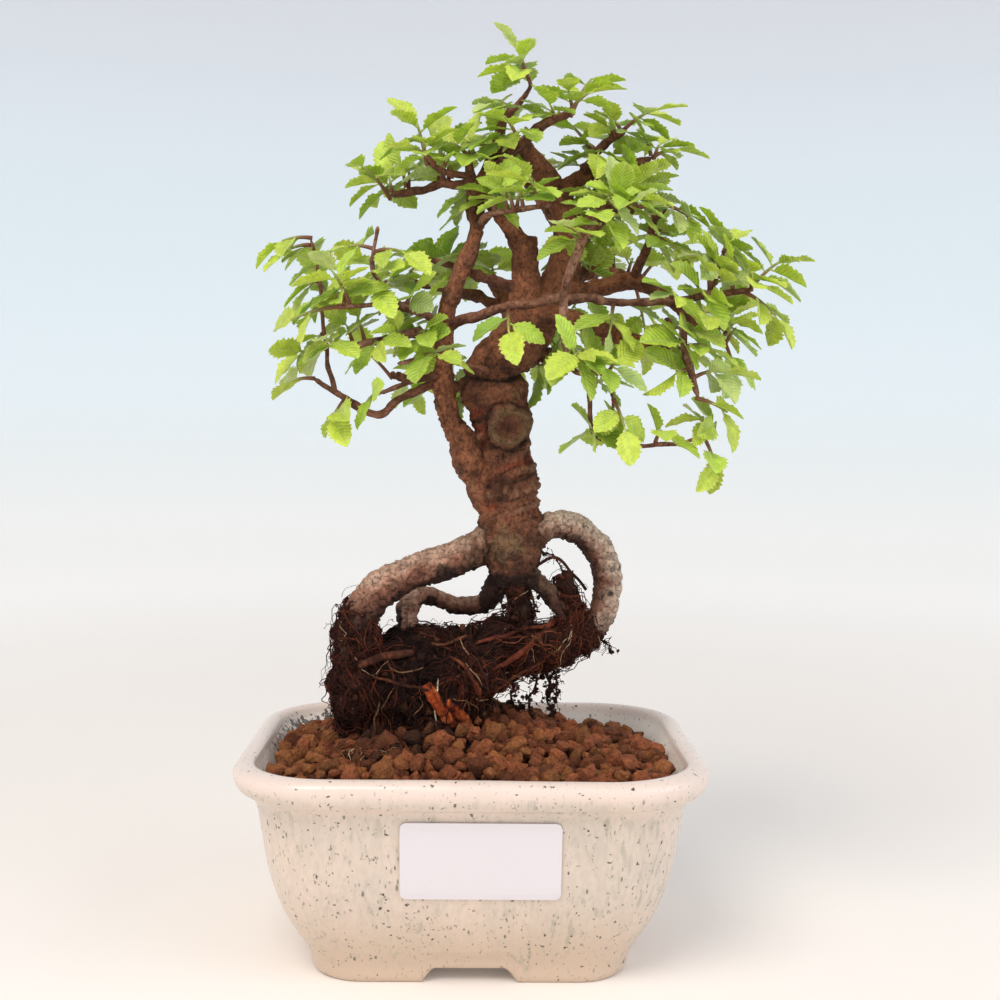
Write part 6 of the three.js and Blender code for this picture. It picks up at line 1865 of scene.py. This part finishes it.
def side_shoots(count, wood, bark, placed):
    """Short shoots along the thin branches, each with three to five leaves, kept clear of what is there."""
    draw = seeded(7001)
    thin = [index for index in range(len(wood.starts)) if wood.owners[index] == 0 and wood.end_radii[index] < 2.4]
    lengths = np.array([np.linalg.norm(wood.ends[index] - wood.starts[index]) for index in thin])
    share = np.cumsum(lengths) / lengths.sum()
    stems, leaves, tried = [], [], 0
    while len(stems) < count and tried < 3 * count:
        tried += 1
        index = thin[int(np.searchsorted(share, draw()))]
        along = draw()
        place = wood.starts[index] * (1 - along) + wood.ends[index] * along
        if place[2] < 168:
            continue
        if within(place, BARE_PLACES):
            continue
        way = unit(outlook(place) + (np.array([draw(), draw(), draw()]) - 0.5) * 1.6)
        tip = place + way * (4 + 6 * draw())
        if within(tip, BARE_TIPS):
            continue
        base = stem_base(tip, wood, bark, [])
        if np.linalg.norm(tip - base) > 14:
            continue
        stem = Stem(base, tip)
        own = stem.segments(0)
        none = Segments(np.zeros((0, 3)), np.zeros((0, 3)), [], [])
        grown = draw_leaves(stem, 3 + int(3 * draw()), draw, wood, own, none, placed,
            SIDE_SHOOT_SPACING, SIDE_SHOOT_ATTEMPTS)
        if grown:
            stems.append(stem)
            leaves.append(grown)
    return stems, leaves


class BONSAI_OT_leaves(bpy.types.Operator):
    """Sets out the leafy shoots of the frame, and the short side shoots between them"""

    bl_idname = "bonsai.leaves"
    bl_label = "Leaves"

    def execute(self, context):
        settings = context.scene.bonsai_leaves
        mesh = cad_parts["wood"].data
        corners = np.empty(len(mesh.vertices) * 3, np.float32)
        mesh.vertices.foreach_get("co", corners)
        faces = np.empty(len(mesh.loops), np.int32)
        mesh.loops.foreach_get("vertex_index", faces)
        # The frame's faces are triangles
        bark = BVHTree.FromPolygons((corners.reshape(-1, 3).astype(float) * 1000 - SHIFT).tolist(),
            faces.reshape(-1, 3).tolist())
        wood = wood_segments()
        stems, leaves, placed = frame_shoots(wood, bark)
        more_stems, more = side_shoots(settings.side_shoots, wood, bark, placed)
        blade, stalk = elm_leaf(), green_stem()
        shoots = tuple(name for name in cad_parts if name.startswith("shoot_"))
        groups = (("shoot", stems, leaves, 211, shoots), ("side_shoot", more_stems, more, 212, ()))
        for name, group, grown, seed, nodes in groups:
            flat = [leaf for part in grown for leaf in part]
            blades, stalks = leaf_shapes(flat, settings.thickness, leaf_colours(flat, settings, seed))
            steps = np.linspace(-0.08, 1, 9)
            paths = np.array([stem.point(steps) for stem in group])
            radii = STEM_RADIUS * (1.15 - 0.55 * np.linspace(0, 1, 9)) * np.ones((len(group), 1))
            tubes = sweep(paths, radii, 7)
            along = np.concatenate([np.tile(np.repeat(np.linspace(0, 1, 9), 7), len(group)),
                np.zeros(len(group)), np.ones(len(group))])
            tubes.paint = blend("#7d4b37", "#9aa352", step_between(along, 0.2, 0.95))
            piece = add_piece(name + "_leaves", blades, blade, nodes)
            piece.data.set_sharp_from_angle(angle=0.7)
            add_piece(name + "_stems", together([tubes, stalks]), stalk)
        return {"FINISHED"}


# Stage


class BONSAI_OT_stage(bpy.types.Operator):
    """Sets the pale round sweep, the soft lights and the camera at the photograph's viewing angle"""

    bl_idname = "bonsai.stage"
    bl_label = "Stage"

    def execute(self, context):
        settings = context.scene.bonsai_stage
        # The sweep is a flat disc that curves up into a wall all round, turned about the z axis
        bend = np.linspace(0, np.pi / 2, 14)
        radius = np.concatenate([[0.02, 0.4, 0.8, 1.2], 1.4 + 0.7 * np.sin(bend), [2.1]])
        height = np.concatenate([[0, 0, 0, 0], 0.7 * (1 - np.cos(bend)), [2.4]])
        turn = np.arange(72) * 2 * np.pi / 72
        rings = np.stack([radius[:, None] * np.cos(turn), radius[:, None] * np.sin(turn),
            height[:, None] + 0 * turn], -1).reshape(-1, 3)
        here = np.arange(72)
        faces = cells(len(radius), 72).tolist() + [here.tolist()]
        mesh = bpy.data.meshes.new("sweep")
        mesh.from_pydata(rings.tolist(), [], faces)
        mesh.polygons.foreach_set("use_smooth", np.ones(len(faces), bool))
        paper, tree, shader = new_material("sweep_paper", Roughness=0.9, Specular_IOR_Level=0.15)
        place = add_node(tree, "TexCoord")
        parts = add_node(tree, "SeparateXYZ", {0: place.outputs["Object"]})
        level = add_node(tree, "MapRange", {0: parts.outputs["Z"], 1: 0.0, 2: 0.9, 3: 0, 4: 1})
        colour = add_node(tree, "ValToRGB", {0: level}, stops=[
            (0, tint("#faf2ea")), (0.25, tint("#ecf2f4")), (0.6, tint("#dce6ea")), (1, tint("#d2d4d9"))])
        plug(tree, shader, {"Base Color": colour})
        # The wall and the far floor glow by emission, a painted light standing in for light from behind; the floor
        # round the pot glows least
        away = add_node(tree, "VectorMath", {0: place.outputs["Object"]}, operation="LENGTH")
        far = add_node(tree, "MapRange", {0: away.outputs["Value"], 1: 0.3, 2: 1.1, 3: 0, 4: 0.2},
            interpolation_type="SMOOTHSTEP")
        height_share = add_node(tree, "Math", {0: level, 1: 0.8, 2: far},
            operation="MULTIPLY_ADD")
        glow = add_node(tree, "ValToRGB", {0: height_share}, stops=[
            (0, tint("#757576")), (0.2, tint("#dae1e4")), (0.3, tint("#c6d2d5")), (0.5, tint("#c4cfd4")),
            (1, tint("#cacbd1"))])
        plug(tree, shader, {"Emission Color": glow})
        shader.inputs["Emission Strength"].default_value = 0.34
        mesh.materials.append(paper)
        sweep_object = bpy.data.objects.new("sweep", mesh)
        context.scene.collection.objects.link(sweep_object)

        world = bpy.data.worlds.new("studio")
        world.use_nodes = True
        world.node_tree.nodes["Background"].inputs[0].default_value = tint("#f3f6fa")
        world.node_tree.nodes["Background"].inputs[1].default_value = settings.sky
        context.scene.world = world
        aim = Vector((0, 0, 0.15))
        for name, place, size, power, colour in (
                ("key", (-0.45, -0.75, 1.15), 0.8, settings.key, "#fff8ef"),
                ("fill", (0.95, -0.55, 0.7), 0.9, settings.fill, "#eef4ff")):
            lamp = bpy.data.lights.new(name, "AREA")
            lamp.shape, lamp.size, lamp.energy, lamp.color = "DISK", size, power, tint(colour)[:3]
            light = bpy.data.objects.new(name, lamp)
            light.location = place
            light.rotation_euler = (aim - Vector(place)).to_track_quat("-Z", "Y").to_euler()
            context.scene.collection.objects.link(light)

        pitch, yaw, roll = np.radians(CAMERA_TURN)
        forward = np.array([-np.sin(yaw) * np.cos(pitch), np.cos(yaw) * np.cos(pitch), -np.sin(pitch)])
        right = unit(np.cross(forward, [0, 0, 1]))
        up = np.cross(right, forward)
        right, up = np.cos(roll) * right + np.sin(roll) * up, np.cos(roll) * up - np.sin(roll) * right
        lens = bpy.data.cameras.new("camera")
        lens.lens, lens.sensor_width, lens.clip_start = settings.focal_length, 36, 0.01
        camera = bpy.data.objects.new("camera", lens)
        place = (np.array(CAMERA_PLACE) + SHIFT) * MM
        camera.matrix_world = Matrix([(*row, spot) for row, spot in zip(np.stack([right, up, -forward], 1), place)]
            + [(0, 0, 0, 1)])
        context.scene.collection.objects.link(camera)
        context.scene.camera = camera
        context.scene.view_settings.view_transform = "Standard"
        return {"FINISHED"}


# Panel


class BONSAI_PT_panel(bpy.types.Panel):
    """Lists the pieces of the bonsai with the settings that each reads"""

    bl_idname = "BONSAI_PT_panel"
    bl_label = "Bonsai"
    bl_space_type = "VIEW_3D"
    bl_region_type = "UI"
    bl_category = "Bonsai"

    def draw(self, context):
        for group, operators in SECTIONS:
            box = self.layout.box()
            for operator in operators:
                box.operator(operator.bl_idname)
            settings = getattr(context.scene, group)
            for name in settings.__annotations__:
                box.prop(settings, name)


SECTIONS = (
    ("bonsai_pot", (BONSAI_OT_pot, BONSAI_OT_label)),
    ("bonsai_soil", (BONSAI_OT_soil,)),
    ("bonsai_wood", (BONSAI_OT_wood,)),
    ("bonsai_roots", (BONSAI_OT_root_mass,)),
    ("bonsai_leaves", (BONSAI_OT_leaves,)),
    ("bonsai_stage", (BONSAI_OT_stage,)),
)
GROUPS = {
    "bonsai_pot": BonsaiPotSettings,
    "bonsai_soil": BonsaiSoilSettings,
    "bonsai_wood": BonsaiWoodSettings,
    "bonsai_roots": BonsaiRootSettings,
    "bonsai_leaves": BonsaiLeafSettings,
    "bonsai_stage": BonsaiStageSettings,
}


def register():
    for name, group in GROUPS.items():
        bpy.utils.register_class(group)
        setattr(bpy.types.Scene, name, bpy.props.PointerProperty(type=group))
    for _, operators in SECTIONS:
        for operator in operators:
            bpy.utils.register_class(operator)
    bpy.utils.register_class(BONSAI_PT_panel)


def unregister():
    bpy.utils.unregister_class(BONSAI_PT_panel)
    for _, operators in SECTIONS:
        for operator in operators:
            bpy.utils.unregister_class(operator)
    for name, group in GROUPS.items():
        delattr(bpy.types.Scene, name)
        bpy.utils.unregister_class(group)


def main():
    register()
    bpy.ops.bonsai.pot()
    bpy.ops.bonsai.label()
    bpy.ops.bonsai.soil()
    bpy.ops.bonsai.wood()
    bpy.ops.bonsai.root_mass()
    bpy.ops.bonsai.leaves()
    bpy.ops.bonsai.stage()


if __name__ == "__main__":
    main()
